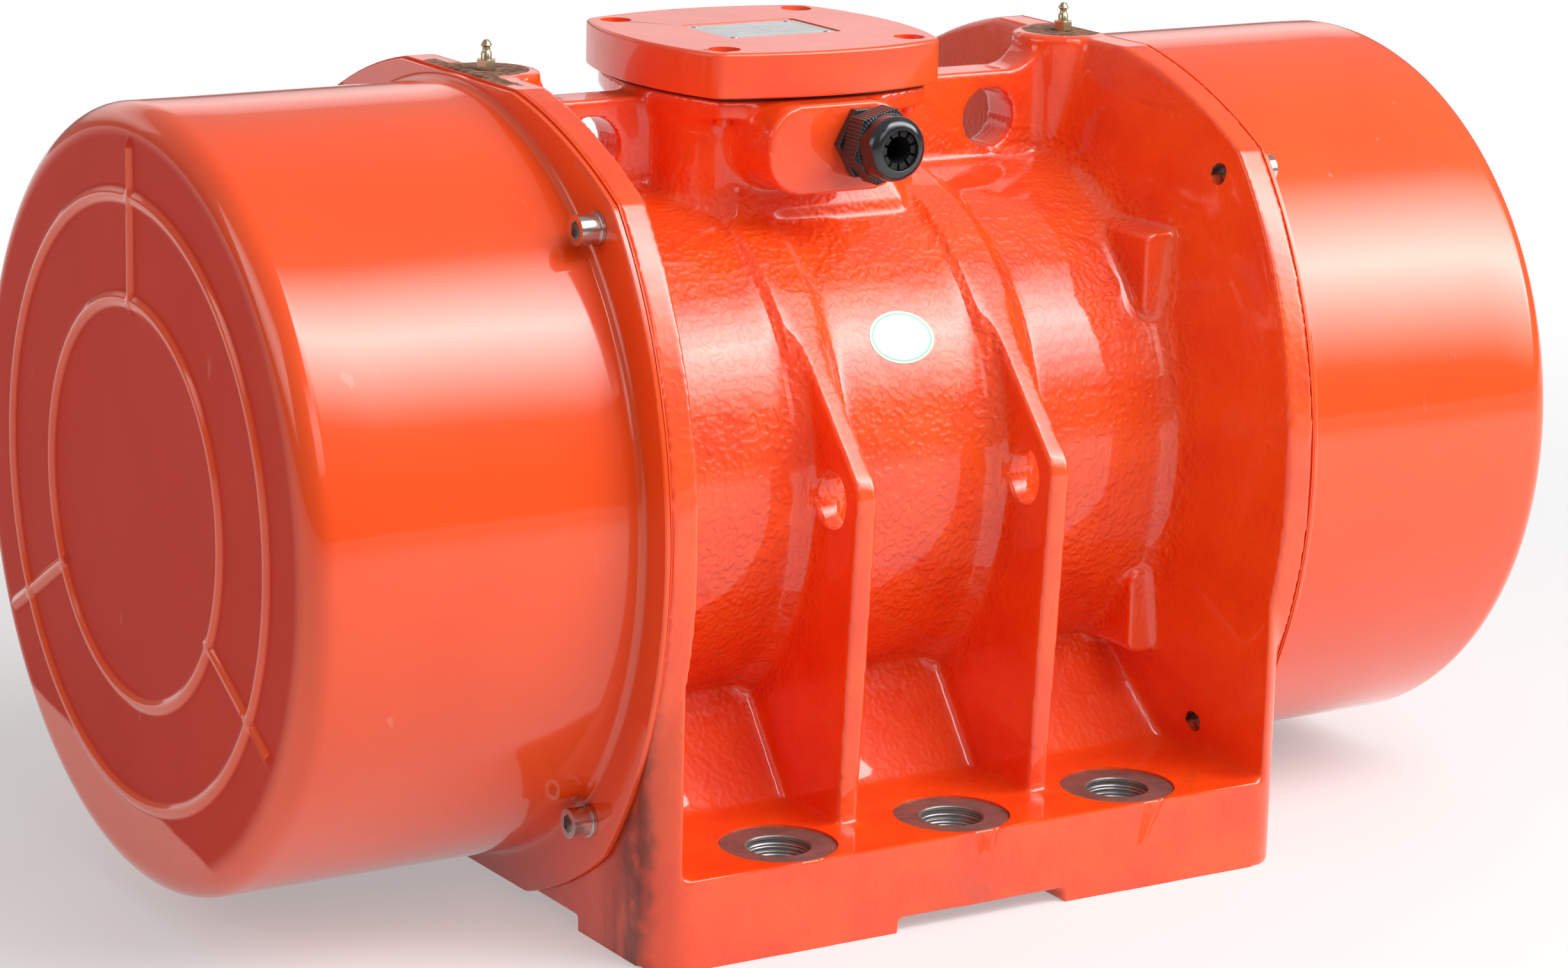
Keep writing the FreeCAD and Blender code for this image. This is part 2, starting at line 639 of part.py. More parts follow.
def terminal_neck():
    """Outside of the cast terminal box, flared into the rim under the lid and spread to a skirt below."""
    low = SHAFT_Z + BARREL_BORE_R
    centre = V(BOX_X, 0, 0)
    neck = rounded_rect(BOX_HALF_X, BOX_HALF_Y, BOX_CORNER_R, centre + V(0, 0, low), V(1, 0, 0), V(0, 1, 0))
    neck = neck.extrude(V(0, 0, BOX_TOP_Z - low))
    rim_z = BOX_TOP_Z - BOX_RIM
    rim = bulged_square(BOX_RIM_CORNER, BOX_RIM_SIDE, centre + V(0, 0, rim_z), V(1, 0, 0), V(0, 1, 0))
    joined = neck.fuse(rim.extrude(V(0, 0, BOX_RIM)))
    near = 0.01
    under = [edge for edge in joined.Edges
             if abs(edge.BoundBox.ZMin - rim_z) < near and abs(edge.BoundBox.ZMax - rim_z) < near
             and max(abs(v.Point.y) for v in edge.Vertexes) < BOX_HALF_Y + near
             and max(abs(v.Point.x - BOX_X) for v in edge.Vertexes) < BOX_HALF_X + near]
    flared = joined.makeFillet(BOX_FLARE_R, under)

    edge_z = BARREL_TOP_Z - SKIRT_DROP
    base, edge, lean = centre + V(0, 0, low), centre + V(0, 0, edge_z), SKIRT_LEAN
    foot = cut_corners(SKIRT_HALF_X, SKIRT_HALF_Y, SKIRT_CORNER, edge)
    head = cut_corners(SKIRT_HALF_X - lean, SKIRT_HALF_Y - lean, SKIRT_CORNER, edge + V(0, 0, SKIRT_RISE))
    plinth = Part.Face(cut_corners(SKIRT_HALF_X, SKIRT_HALF_Y, SKIRT_CORNER, base))
    return flared.fuse([plinth.extrude(edge - base), Part.makeLoft([foot, head], True, True)])


def conduit_boss():
    face = rounded_rect(BOSS_LENGTH / 2, BOSS_HEIGHT / 2, BOSS_CORNER_R, V(BOSS_X, -BOSS_FACE_Y, BOSS_Z),
                        V(1, 0, 0), V(0, 0, 1))
    return face.extrude(V(0, BOSS_REACH + BOX_WALL - CUT, 0))


def box_opening(z, height):
    """Inside of the terminal box, as a prism."""
    face = rounded_rect(BOX_HALF_X - BOX_WALL, BOX_HALF_Y - BOX_WALL, BOX_CORNER_R - BOX_WALL,
                        V(BOX_X, 0, z), V(1, 0, 0), V(0, 1, 0))
    return face.extrude(V(0, 0, height))


def box_interior():
    """Cable space of the terminal box, open at the top, with the lead hole down to the stator."""
    lead_x = BOX_X + BOX_HALF_X - BOX_WALL - LEAD_HOLE_IN
    leads = rod_z(LEAD_HOLE_R, SHAFT_Z + BARREL_BORE_R / 2, BOX_FLOOR_Z + CUT, lead_x)
    entry = rod_y(GLAND_THREAD_R, -BOSS_FACE_Y - CUT, BOX_WALL - BOX_HALF_Y + CUT, GLAND_X, GLAND_Z)
    return [box_opening(BOX_FLOOR_Z, BOX_DEPTH + CUT), leads, entry]


def lid_screw_places():
    return [(BOX_X + sx * LID_SCREW_AT, sy * LID_SCREW_AT) for sx in (-1, 1) for sy in (-1, 1)]


def foot_hole_places():
    return [(column * HOLE_PITCH, row * HOLE_Y) for column in (-1, 0, 1) for row in (-1, 1)]


def housing():
    barrel_end = FLANGE_FACE_X - FLANGE_ROOT / 2
    pieces = [rod_x(BARREL_R, -barrel_end, barrel_end), both_ends(end_flange()), both_ends(root_fillet()),
              foot_block(-FLANGE_FACE_X, FLANGE_FACE_X, FOOT_HEIGHT), pedestal(), conduit_boss(),
              lifting_web(1), lifting_web(-1), both_ends(grease_boss())]
    holes = foot_relief()
    for x in (-RIB_X, RIB_X):
        pieces.append(rib_band(x))
        for side in (-1, 1):
            plate, hole = rib(side, x)
            pieces.append(plate)
            holes.append(hole)
    for lug in lugs():
        pieces += [lug, mirrored(lug)]
    body = terminal_neck().fuse(pieces)

    bore_end = FLANGE_FACE_X + CUT
    holes.append(rod_x(BARREL_BORE_R, -bore_end, bore_end))
    holes += box_interior()
    for x, y in foot_hole_places():
        holes.append(rod_z(HOLE_D / 2, -CUT, FOOT_HEIGHT + CUT, x, y))
        holes.append(rod_z(SPOT_D / 2, FOOT_HEIGHT - SPOT_DEPTH, FOOT_HEIGHT + SPOT_D / 4, x, y))
    for x, y in lid_screw_places():
        holes.append(rod_z(LID_SCREW_R, BOX_TOP_Z - LID_THREAD_DEPTH, BOX_TOP_Z + CUT, x, y))
    for end in (-1, 1):
        lift = rod_y(LIFT_HOLE_D / 2, -WEB_THICK, WEB_THICK, end * LIFT_HOLE_X, LIFT_HOLE_Z)
        pad_z = SHAFT_Z + FLANGE_TOP + GREASE_PAD_RISE
        grease = rod_z(NIPPLE_THREAD_R, SHAFT_Z + BARREL_BORE_R / 2, pad_z + CUT, end * GREASE_X)
        holes += [lift, grease]
        for y, up in four_corners(COVER_SCREW_AT):
            near, far = sorted((end * (FLANGE_FACE_X - FLANGE_ROOT - CUT), end * bore_end))
            holes.append(rod_x(COVER_SCREW_R, near, far, y, up))
    bolt = rod_x(BEARING_BOLT_R, FLANGE_FACE_X - BEARING_BOLT_DEPTH, bore_end, 0, BEARING_BOLT_PCR)
    for hole in around_x(bolt, BEARING_BOLT_COUNT, BEARING_BOLT_START):
        holes += [hole, mirrored(hole)]
    return body.cut(holes).removeSplitter()


# ---- terminal box fittings -----------------------------------------------------------------------
def terminal_lid():
    low = BOX_TOP_Z + LID_GASKET
    lid = bulged_square(BOX_RIM_CORNER + LID_MARGIN, BOX_RIM_SIDE + LID_MARGIN, V(BOX_X, 0, low),
                        V(1, 0, 0), V(0, 1, 0)).extrude(V(0, 0, LID_THICK))
    window = plate_outline(PLATE_EDGE, TOP_Z - PLATE_SINK).extrude(V(0, 0, PLATE_SINK + CUT))
    cuts = [box_opening(low - CUT, LID_POCKET_DEPTH + CUT), window]
    for x, y in lid_screw_places():
        cuts.append(rod_z(LID_RECESS_D / 2, TOP_Z - LID_RECESS_DEPTH, TOP_Z + CUT, x, y))
        cuts.append(rod_z(LID_SCREW_R + SCREW_CLEARANCE, low - CUT, TOP_Z, x, y))
    for x, y in rivet_places():
        cuts.append(rod_z(RIVET_R, TOP_Z - PLATE_SINK - RIVET_DEPTH, TOP_Z, x, y))
    return lid.cut(cuts)


def plate_outline(margin, z):
    return rounded_rect(PLATE_LENGTH / 2 + margin, PLATE_WIDTH / 2 + margin, PLATE_CORNER_R,
                        V(BOX_X, 0, z), V(1, 0, 0), V(0, 1, 0))


def rivet_places():
    reach_x, reach_y = PLATE_LENGTH / 2 - RIVET_IN_X, PLATE_WIDTH / 2 - RIVET_IN_Y
    return [(BOX_X + sx * reach_x, sy * reach_y) for sx in (-1, 1) for sy in (-1, 1)]


def nameplate():
    base = TOP_Z - PLATE_SINK
    plate = plate_outline(0, base).extrude(V(0, 0, PLATE_THICK))
    return plate.cut([rod_z(RIVET_R, base - CUT, TOP_Z, x, y) for x, y in rivet_places()])


def nameplate_rivets():
    base = TOP_Z - PLATE_SINK
    rivets = []
    for x, y in rivet_places():
        stem = rod_z(RIVET_R, base - RIVET_DEPTH, base + PLATE_THICK, x, y)
        head = rod_z(RIVET_HEAD_R, base + PLATE_THICK, base + PLATE_THICK + RIVET_HEAD_H, x, y)
        rivets.append(stem.fuse(head))
    return rivets


def lid_gasket():
    sheet = bulged_square(BOX_RIM_CORNER, BOX_RIM_SIDE, V(BOX_X, 0, BOX_TOP_Z), V(1, 0, 0), V(0, 1, 0))
    sheet = sheet.extrude(V(0, 0, LID_GASKET))
    holes = [rod_z(LID_SCREW_R + SCREW_CLEARANCE, BOX_TOP_Z - CUT, TOP_Z, x, y)
             for x, y in lid_screw_places()]
    return sheet.cut([box_opening(BOX_TOP_Z - CUT, LID_GASKET + 2 * CUT)] + holes)


def lid_screws():
    seat = TOP_Z - LID_RECESS_DEPTH
    shank = seat - BOX_TOP_Z + LID_THREAD_DEPTH - LID_SCREW_SPARE
    return [socket_screw(V(x, y, seat), V(0, 0, 1), LID_HEAD_R, LID_HEAD_HIGH, LID_SCREW_R, shank,
                         LID_KEY, LID_KEY_DEPTH)
            for x, y in lid_screw_places()]


def stud_places():
    return [(BOX_X + column * STUD_PITCH, row * STUD_PITCH / 2) for column in (-1, 0, 1) for row in (-1, 1)]


def terminal_board():
    half_x, half_y = STUD_PITCH + BOARD_EDGE_X, STUD_PITCH / 2 + BOARD_EDGE_Y
    base, top, half = BOX_FLOOR_Z, BOX_FLOOR_Z + BOARD_THICK, BOARD_GROOVE / 2
    board = box(BOX_X - half_x, BOX_X + half_x, -half_y, half_y, base, top)
    grooves = [box(BOX_X + x - half, BOX_X + x + half, -half_y, half_y, top - BOARD_GROOVE, top)
               for x in (-STUD_PITCH / 2, STUD_PITCH / 2)]
    holes = [rod_z(STUD_R, base + STUD_SEAT, top + CUT, x, y) for x, y in stud_places()]
    return board.cut(grooves + holes)


def terminal_studs():
    """Brass studs with a nut each, clamping three links for the star or delta connection."""
    top, reach = BOX_FLOOR_Z + BOARD_THICK, STUD_PITCH / 2 + LINK_END
    studs = []
    for column in (-1, 0, 1):
        x = BOX_X + column * STUD_PITCH
        group = box(x - LINK_HALF, x + LINK_HALF, -reach, reach, top, top + LINK_THICK)
        for row in (-1, 1):
            y = row * STUD_PITCH / 2
            group = group.fuse(rod_z(STUD_R, BOX_FLOOR_Z + STUD_SEAT, top + STUD_REACH, x, y))
            group = group.fuse(hexagon(STUD_NUT, V(x, y, top + LINK_THICK), V(0, 0, 1), STUD_NUT_HIGH))
        studs.append(group)
    return studs


def earth_screw():
    at = V(BOX_X - BOX_HALF_X + BOX_WALL + EARTH_IN, 0, BOX_FLOOR_Z)
    screw = hex_screw(at, V(0, 0, 1), STUD_NUT, STUD_NUT_HIGH, EARTH_SCREW_R, EARTH_STEM)
    return screw.fuse(Part.makeCylinder(EARTH_WASHER_R, EARTH_WASHER, at))


def gland_body():
    """Hexagonal base with the threaded entry that screws into the conduit boss."""
    face = V(GLAND_X, -BOSS_FACE_Y, GLAND_Z)
    out = V(0, -1, 0)
    base = hexagon(GLAND_FLATS, face, out, GLAND_BASE, 30)
    neck = Part.makeCylinder(GLAND_NUT_BORE - SLIDE_GAP, GLAND_NUT_LENGTH, face + out * GLAND_BASE, out)
    entry = Part.makeCylinder(GLAND_THREAD_R - SLIDE_GAP, GLAND_ENTRY, face, V(0, 1, 0))
    through = GLAND_ENTRY + GLAND_BASE + GLAND_NUT_LENGTH + 2 * CUT
    bore = Part.makeCylinder(GLAND_BORE_R, through, face + V(0, GLAND_ENTRY + CUT, 0), out)
    return base.fuse([neck, entry]).cut(bore)


def gland_profile(points):
    """Turned gland piece; points are (distance out from the boss face, radius)."""
    face = polygon([V(GLAND_X + radius, -BOSS_FACE_Y - out, GLAND_Z) for out, radius in points])
    return face.revolve(V(GLAND_X, 0, GLAND_Z), V(0, 1, 0), 360)


def gland_dome_nut():
    start = GLAND_BASE + GLAND_NUT_GAP
    root = start + GLAND_GRIP - CUT
    end = start + GLAND_NUT_REACH
    shoulder = GLAND_FLATS / 2 - GLAND_DOME_INSET
    bend = shoulder - GLAND_MOUTH_R - GLAND_MOUTH_LAND

    def at(out, radius):
        return V(GLAND_X + radius, -BOSS_FACE_Y - out, GLAND_Z)

    half = bend * math.sqrt(0.5)
    face = path_face([
        ("line", at(root, GLAND_MOUTH_R), at(root, shoulder)),
        ("line", at(root, shoulder), at(end - bend, shoulder)),
        ("arc", at(end - bend, shoulder), at(end - bend + half, shoulder - bend + half),
         at(end, shoulder - bend)),
        ("line", at(end, shoulder - bend), at(end, GLAND_MOUTH_R)),
        ("line", at(end, GLAND_MOUTH_R), at(root, GLAND_MOUTH_R)),
    ])
    dome = face.revolve(V(GLAND_X, 0, GLAND_Z), V(0, 1, 0), 360)
    grip = hexagon(GLAND_FLATS, V(GLAND_X, -BOSS_FACE_Y - start, GLAND_Z), V(0, -1, 0), GLAND_GRIP, 45)
    reach = GLAND_BASE + GLAND_NUT_LENGTH + GLAND_NUT_GAP
    inside = gland_profile([(0, 0), (0, GLAND_NUT_BORE), (reach, GLAND_NUT_BORE), (reach, GLAND_MOUTH_R),
                            (end + CUT, GLAND_MOUTH_R), (end + CUT, 0)])
    return dome.fuse(grip).cut(inside)


def gland_seal():
    """Clamping insert: a rubber ring whose fingers show in the mouth of the dome nut."""
    start = GLAND_BASE + GLAND_NUT_LENGTH + GLAND_SEAL_GAP
    end = GLAND_BASE + GLAND_NUT_REACH - GLAND_SEAL_SET
    outer = GLAND_MOUTH_R - GLAND_SEAL_GAP
    seal = gland_profile([(start, GLAND_SEAL_R), (start, outer), (end, outer), (end, GLAND_SEAL_R)])
    front = -BOSS_FACE_Y - end
    notch = box(-FINGER_SLOT / 2, FINGER_SLOT / 2, front - CUT, front + FINGER_DEPTH,
                GLAND_SEAL_R - CUT, GLAND_MOUTH_R + CUT)
    cuts = []
    for index in range(GLAND_FINGERS):
        cut = notch.copy()
        cut.rotate(V(0, 0, 0), V(0, 1, 0), index * 360.0 / GLAND_FINGERS)
        cut.translate(V(GLAND_X, 0, GLAND_Z))
        cuts.append(cut)
    return seal.cut(cuts)


def oval_label():
    """Thin oval sticker that lies on the front of the barrel."""
    outline = Part.Ellipse(V(0, 0, 0), LABEL_LONG / 2, LABEL_HIGH / 2).toShape()
    face = Part.Face(Part.Wire([outline]))
    face.rotate(V(0, 0, 0), V(1, 0, 0), 90)
    face.translate(V(LABEL_X, -BARREL_R - CUT, SHAFT_Z + min(LABEL_UP, BARREL_R - LABEL_HIGH)))
    punch = face.extrude(V(0, BARREL_R, 0))
    skin = ring_x(BARREL_R + LABEL_THICK, BARREL_R, LABEL_X - LABEL_LONG, LABEL_X + LABEL_LONG)
    return punch.common(skin)


def grease_nipple():
    """Hexagonal nipple with its ball-ended head, screwed into the pad."""
    seat = SHAFT_Z + FLANGE_TOP + GREASE_PAD_RISE
    at = V(GREASE_X, 0, seat)
    up = V(0, 0, 1)
    nipple = hexagon(NIPPLE_FLATS, at, up, NIPPLE_HEX)
    neck, waist, ball, tip = NIPPLE_NECK_R, NIPPLE_WAIST_R, NIPPLE_BALL_R, NIPPLE_TIP_R
    low = NIPPLE_STEM + (neck - waist) * 1.5
    high = NIPPLE_TALL - tip
    middle = high - ball + tip
    profile = [(0, 0), (0, neck), (NIPPLE_STEM, neck), (low, waist), (middle - ball + waist, waist),
               (middle, ball), (high, waist), (NIPPLE_TALL, tip), (NIPPLE_TALL, 0)]
    base = seat + NIPPLE_HEX - CUT
    face = polygon([V(GREASE_X + radius, 0, base + height) for height, radius in profile])
    thread = Part.makeCylinder(NIPPLE_THREAD_R - SLIDE_GAP, NIPPLE_THREAD, at - up * NIPPLE_THREAD, up)
    return nipple.fuse([face.revolve(at, up, 360), thread])


# ---- end covers ----------------------------------------------------------------------------------
LIP_X = FLANGE_FACE_X + GASKET
COVER_END_X = LIP_X + COVER_DEPTH


def bead_profile(radius, at_x):
    """Low rounded ridge on the cover's end face, as a face in the XZ plane."""
    low, side, crest = at_x - CUT, BEAD_HALF_WIDTH, at_x + BEAD_RISE

    def at(x, r):
        return V(x, 0, SHAFT_Z + r)

    return path_face([("line", at(low, radius - side), at(low, radius + side)),
                      ("arc", at(low, radius + side), at(crest, radius), at(low, radius - side))])


def spoke(angle):
    """Straight ridge of the same section, from the inner ring bead out past the outer one."""
    low, half = COVER_END_X - CUT, BEAD_HALF_WIDTH

    def at(x, y):
        return V(x, y, SHAFT_Z + SPOKE_INNER)

    section = path_face([("line", at(low, -half), at(low, half)),
                         ("arc", at(low, half), at(COVER_END_X + BEAD_RISE, 0), at(low, -half))])
    ridge = section.extrude(V(0, 0, SPOKE_OUTER - SPOKE_INNER))
    ridge.rotate(AXIS, V(1, 0, 0), angle - 90)
    return ridge


def end_cover():
    """Drawn sheet drum: bulged lip, flared root, round rim and a beaded end face."""
    end, corner, inner = COVER_END_X, COVER_CORNER_R, COVER_R - SHEET
    lip_out = LIP_X + SHEET

    def at(x, r):
        return V(x, 0, SHAFT_Z + r)

    def bend(radius, centre_x, centre_r, sign_x=1, sign_r=1):
        half = radius * math.sqrt(0.5)
        return at(centre_x + sign_x * half, centre_r + sign_r * half)

    flare = COVER_FLARE_R
    face = path_face([
        ("line", at(LIP_X, inner), at(LIP_X, COVER_R + flare)),
        ("line", at(LIP_X, COVER_R + flare), at(lip_out, COVER_R + flare)),
        ("arc", at(lip_out, COVER_R + flare), bend(flare, lip_out + flare, COVER_R + flare, -1, -1),
         at(lip_out + flare, COVER_R)),
        ("line", at(lip_out + flare, COVER_R), at(end - corner, COVER_R)),
        ("arc", at(end - corner, COVER_R), bend(corner, end - corner, COVER_R - corner),
         at(end, COVER_R - corner)),
        ("line", at(end, COVER_R - corner), at(end, 0)),
        ("line", at(end, 0), at(end - SHEET, 0)),
        ("line", at(end - SHEET, 0), at(end - SHEET, COVER_R - corner)),
        ("arc", at(end - SHEET, COVER_R - corner), bend(corner - SHEET, end - corner, COVER_R - corner),
         at(end - corner, inner)),
        ("line", at(end - corner, inner), at(LIP_X, inner)),
    ])
    drum = face.revolve(AXIS, V(1, 0, 0), 360)
    lip = flange_outline(LIP_X).extrude(V(SHEET, 0, 0))
    lip = lip.cut(rod_x(COVER_R - SHEET / 2, LIP_X - CUT, lip_out + CUT))
    beads = [bead_profile(radius, end).revolve(AXIS, V(1, 0, 0), 360) for radius in BEAD_RADII]
    beads += [spoke(angle) for angle in SPOKE_ANGLES]
    holes = [rod_x(COVER_SCREW_R + SCREW_CLEARANCE, LIP_X - CUT, lip_out + CUT, y, up)
             for y, up in four_corners(COVER_SCREW_AT)]
    return drum.fuse([lip] + beads).cut(holes)


def cover_gasket():
    ring = flange_outline(FLANGE_FACE_X).extrude(V(GASKET, 0, 0))
    cuts = [rod_x(COVER_R - SHEET, FLANGE_FACE_X - CUT, LIP_X + CUT)]
    cuts += [rod_x(COVER_SCREW_R + SCREW_CLEARANCE, FLANGE_FACE_X - CUT, LIP_X + CUT, y, up)
             for y, up in four_corners(COVER_SCREW_AT)]
    return ring.cut(cuts)


def cover_washers():
    """Split spring washers under the cover screws."""
    x, half = LIP_X + SHEET, WASHER_SPLIT / 2
    washers = []
    for y, up in four_corners(COVER_SCREW_AT):
        washer = rod_x(WASHER_R, x, x + WASHER_THICK, y, up)
        bore = rod_x(COVER_SCREW_R + SLIDE_GAP, x - CUT, x + WASHER_THICK + CUT, y, up)
        split = box(x - CUT, x + WASHER_THICK + CUT, y - half, y + half,
                    SHAFT_Z + up, SHAFT_Z + up + WASHER_R + CUT)
        washers.append(washer.cut([bore, split]))
    return washers


def cover_screws():
    seat = LIP_X + SHEET + WASHER_THICK
    shank = seat - FLANGE_FACE_X + FLANGE_RIM - COVER_SCREW_SPARE
    return [socket_screw(V(seat, y, SHAFT_Z + up), V(1, 0, 0), COVER_HEAD_R, COVER_HEAD_HIGH, COVER_SCREW_R,
                         shank, COVER_KEY, COVER_KEY_DEPTH)
            for y, up in four_corners(COVER_SCREW_AT)]


# ---- stator, bearings and rotor ------------------------------------------------------------------
def stator_slots(inner_r, outer_r, half_length):
    half = SLOT_WIDTH / 2
    slot = box(-half_length, half_length, -half, half, SHAFT_Z + inner_r, SHAFT_Z + outer_r)
    return around_x(slot, SLOT_COUNT)


def stator_core():
    bore = ROTOR_R + AIR_GAP
    core = ring_x(BARREL_BORE_R, bore, -CORE_HALF, CORE_HALF)
    return core.cut(stator_slots(bore - SLOT_OVERRUN, bore + SLOT_DEPTH, CORE_HALF + CUT))


def stator_windings():
    """Copper in the slots, joined by the two end windings."""
    bore = ROTOR_R + AIR_GAP
    low, high = bore + WINDING_IN, BARREL_BORE_R - WINDING_GAP
    start, end, round_off = CORE_HALF, CORE_HALF + WINDING_LENGTH, WINDING_ROUND
    turn = [(start, low), (start, high - round_off / 2), (start + round_off, high), (end - round_off, high),
            (end, high - round_off), (end, low + round_off), (end - round_off, low)]
    bars = stator_slots(low + WINDING_IN / 2, bore + SLOT_DEPTH, CORE_HALF + WINDING_IN / 2)
    return both_ends(turned(turn)).fuse(bars)


def bearing_housing():
    """Bearing carrier: spigot in the barrel bore, bolted flange, and the seat of the outer ring."""
    face, outer = FLANGE_FACE_X, BARREL_BORE_R
    back, front = BEARING_X - RING_LIP, face + BEARING_FLANGE_THICK
    flange_r = BEARING_BOLT_PCR + BEARING_FLANGE_EDGE
    profile = [(back, LABYRINTH_R + RUNNING_GAP), (back, outer), (face, outer), (face, flange_r),
               (front, flange_r), (front, BEARING_OUTER_R),
               (BEARING_X, BEARING_OUTER_R), (BEARING_X, LABYRINTH_R + RUNNING_GAP)]
    carrier = turned(profile)
    bolt = rod_x(BEARING_BOLT_R + SCREW_CLEARANCE, face - CUT, front + CUT, 0, BEARING_BOLT_PCR)
    screw = rod_x(CAP_SCREW_R, front - CAP_SCREW_DEPTH, front + CUT, 0, CAP_SCREW_PCR)
    cuts = around_x(bolt, BEARING_BOLT_COUNT, BEARING_BOLT_START) + around_x(screw, CAP_SCREW_COUNT)
    cuts.append(rod_z(GREASE_WAY_R, SHAFT_Z + BEARING_OUTER_R - CUT, SHAFT_Z + outer + CUT, GREASE_X))
    return carrier.cut(cuts)


def bearing_cap():
    """Outer cap that closes the bearing and runs close to the labyrinth ring."""
    front = FLANGE_FACE_X + BEARING_FLANGE_THICK
    seat, step = BEARING_X + BEARING_WIDTH, BEARING_OUTER_R - CAP_STEP
    rim = CAP_SCREW_PCR + CAP_EDGE
    profile = [(front, LABYRINTH_R + RUNNING_GAP), (front, step), (seat, step), (seat, BEARING_OUTER_R),
               (front, BEARING_OUTER_R), (front, rim), (front + CAP_THICK, rim),
               (front + CAP_THICK, LABYRINTH_R + RUNNING_GAP)]
    screw = rod_x(CAP_SCREW_R + SCREW_CLEARANCE, front - CUT, front + CAP_THICK + CUT, 0, CAP_SCREW_PCR)
    return turned(profile).cut(around_x(screw, CAP_SCREW_COUNT))


def bearing_housing_bolts():
    seat = FLANGE_FACE_X + BEARING_FLANGE_THICK
    shank = BEARING_FLANGE_THICK + BEARING_BOLT_DEPTH - BOLT_SPARE
    bolt = hex_screw(V(seat, 0, SHAFT_Z + BEARING_BOLT_PCR), V(1, 0, 0), BEARING_BOLT_FLATS,
                     BEARING_BOLT_HEAD, BEARING_BOLT_R, shank)
    bolts = around_x(bolt, BEARING_BOLT_COUNT, BEARING_BOLT_START)
    return bolts + [mirrored(bolt) for bolt in bolts]


def bearing_cap_screws():
    seat = FLANGE_FACE_X + BEARING_FLANGE_THICK + CAP_THICK
    shank = CAP_THICK + CAP_SCREW_DEPTH - BOLT_SPARE
    screw = hex_screw(V(seat, 0, SHAFT_Z + CAP_SCREW_PCR), V(1, 0, 0), CAP_SCREW_FLATS, CAP_SCREW_HEAD,
                      CAP_SCREW_R, shank)
    screws = around_x(screw, CAP_SCREW_COUNT)
    return screws + [mirrored(screw) for screw in screws]


def bearing_outer_ring():
    x0, x1 = BEARING_X, BEARING_X + BEARING_WIDTH
    track = ROLLER_PITCH_R + ROLLER_R + ROLLER_GAP
    lip = track - OUTER_LIP_RISE
    return turned([(x0, lip), (x0, BEARING_OUTER_R), (x1, BEARING_OUTER_R), (x1, lip), (x1 - RING_LIP, lip),
                   (x1 - RING_LIP, track), (x0 + RING_LIP, track), (x0 + RING_LIP, lip)])


def bearing_inner_ring():
    x0, x1 = BEARING_X, BEARING_X + BEARING_WIDTH
    track = ROLLER_PITCH_R - ROLLER_R - ROLLER_GAP
    lip = track + INNER_LIP_RISE
    return turned([(x0, BEARING_BORE_R), (x0, lip), (x0 + RING_LIP, lip), (x0 + RING_LIP, track),
                   (x1, track), (x1, BEARING_BORE_R)])


def bearing_rollers():
    x0, x1 = BEARING_X + RING_LIP + ROLLER_GAP, BEARING_X + BEARING_WIDTH - RING_LIP - ROLLER_GAP
    return around_x(rod_x(ROLLER_R, x0, x1, 0, ROLLER_PITCH_R), ROLLER_COUNT)


def bearing_cage():
    x0, x1 = BEARING_X + CAGE_INSET, BEARING_X + BEARING_WIDTH - CAGE_INSET
    cage = ring_x(ROLLER_PITCH_R + CAGE_HALF, ROLLER_PITCH_R - CAGE_HALF, x0, x1)
    pocket = rod_x(ROLLER_R + ROLLER_GAP, BEARING_X + RING_LIP, BEARING_X + BEARING_WIDTH - RING_LIP,
                   0, ROLLER_PITCH_R)
    return cage.cut(around_x(pocket, ROLLER_COUNT))


def labyrinth_ring():
    """Spacer between the inner ring and the fixed weight; it seals inside the bearing cap."""
    return ring_x(LABYRINTH_R, BEARING_BORE_R, BEARING_X + BEARING_WIDTH, FIXED_WEIGHT_X)


def adjustable_weight_x():
    return FIXED_WEIGHT_X + WEIGHT_THICK + WEIGHT_GAP


def shaft_washer_x():
    return adjustable_weight_x() + WEIGHT_THICK + WEIGHT_GAP


def half_shaft():
    core, bearing, seat, step = ROTOR_SEAT_R, BEARING_BORE_R, WEIGHT_SEAT_R, ROTOR_SEAT_R - SHAFT_STEP
    shoulder = CORE_HALF + SHAFT_STEP_AT
    nut_end = shaft_washer_x() + SHAFT_WASHER + NUT_THICK + SHAFT_END
    shaft = turned([(0, 0), (0, core), (shoulder, core), (shoulder + SHAFT_BEVEL, step),
                    (BEARING_X, step), (BEARING_X, bearing), (FIXED_WEIGHT_X, bearing),
                    (FIXED_WEIGHT_X, seat), (shaft_washer_x(), seat), (shaft_washer_x(), NUT_THREAD_R),
                    (nut_end - SHAFT_END_BEVEL, NUT_THREAD_R), (nut_end, NUT_THREAD_R - SHAFT_END_BEVEL),
                    (nut_end, 0)])
    return shaft.cut(weight_key())


def weight_key():
    x0 = FIXED_WEIGHT_X + (WEIGHT_THICK - KEY_LENGTH) / 2
    half, seat = KEY_WIDTH / 2, SHAFT_Z + WEIGHT_SEAT_R
    return box(x0, x0 + KEY_LENGTH, -half, half, seat - KEY_IN_SHAFT, seat + KEY_IN_WEIGHT)


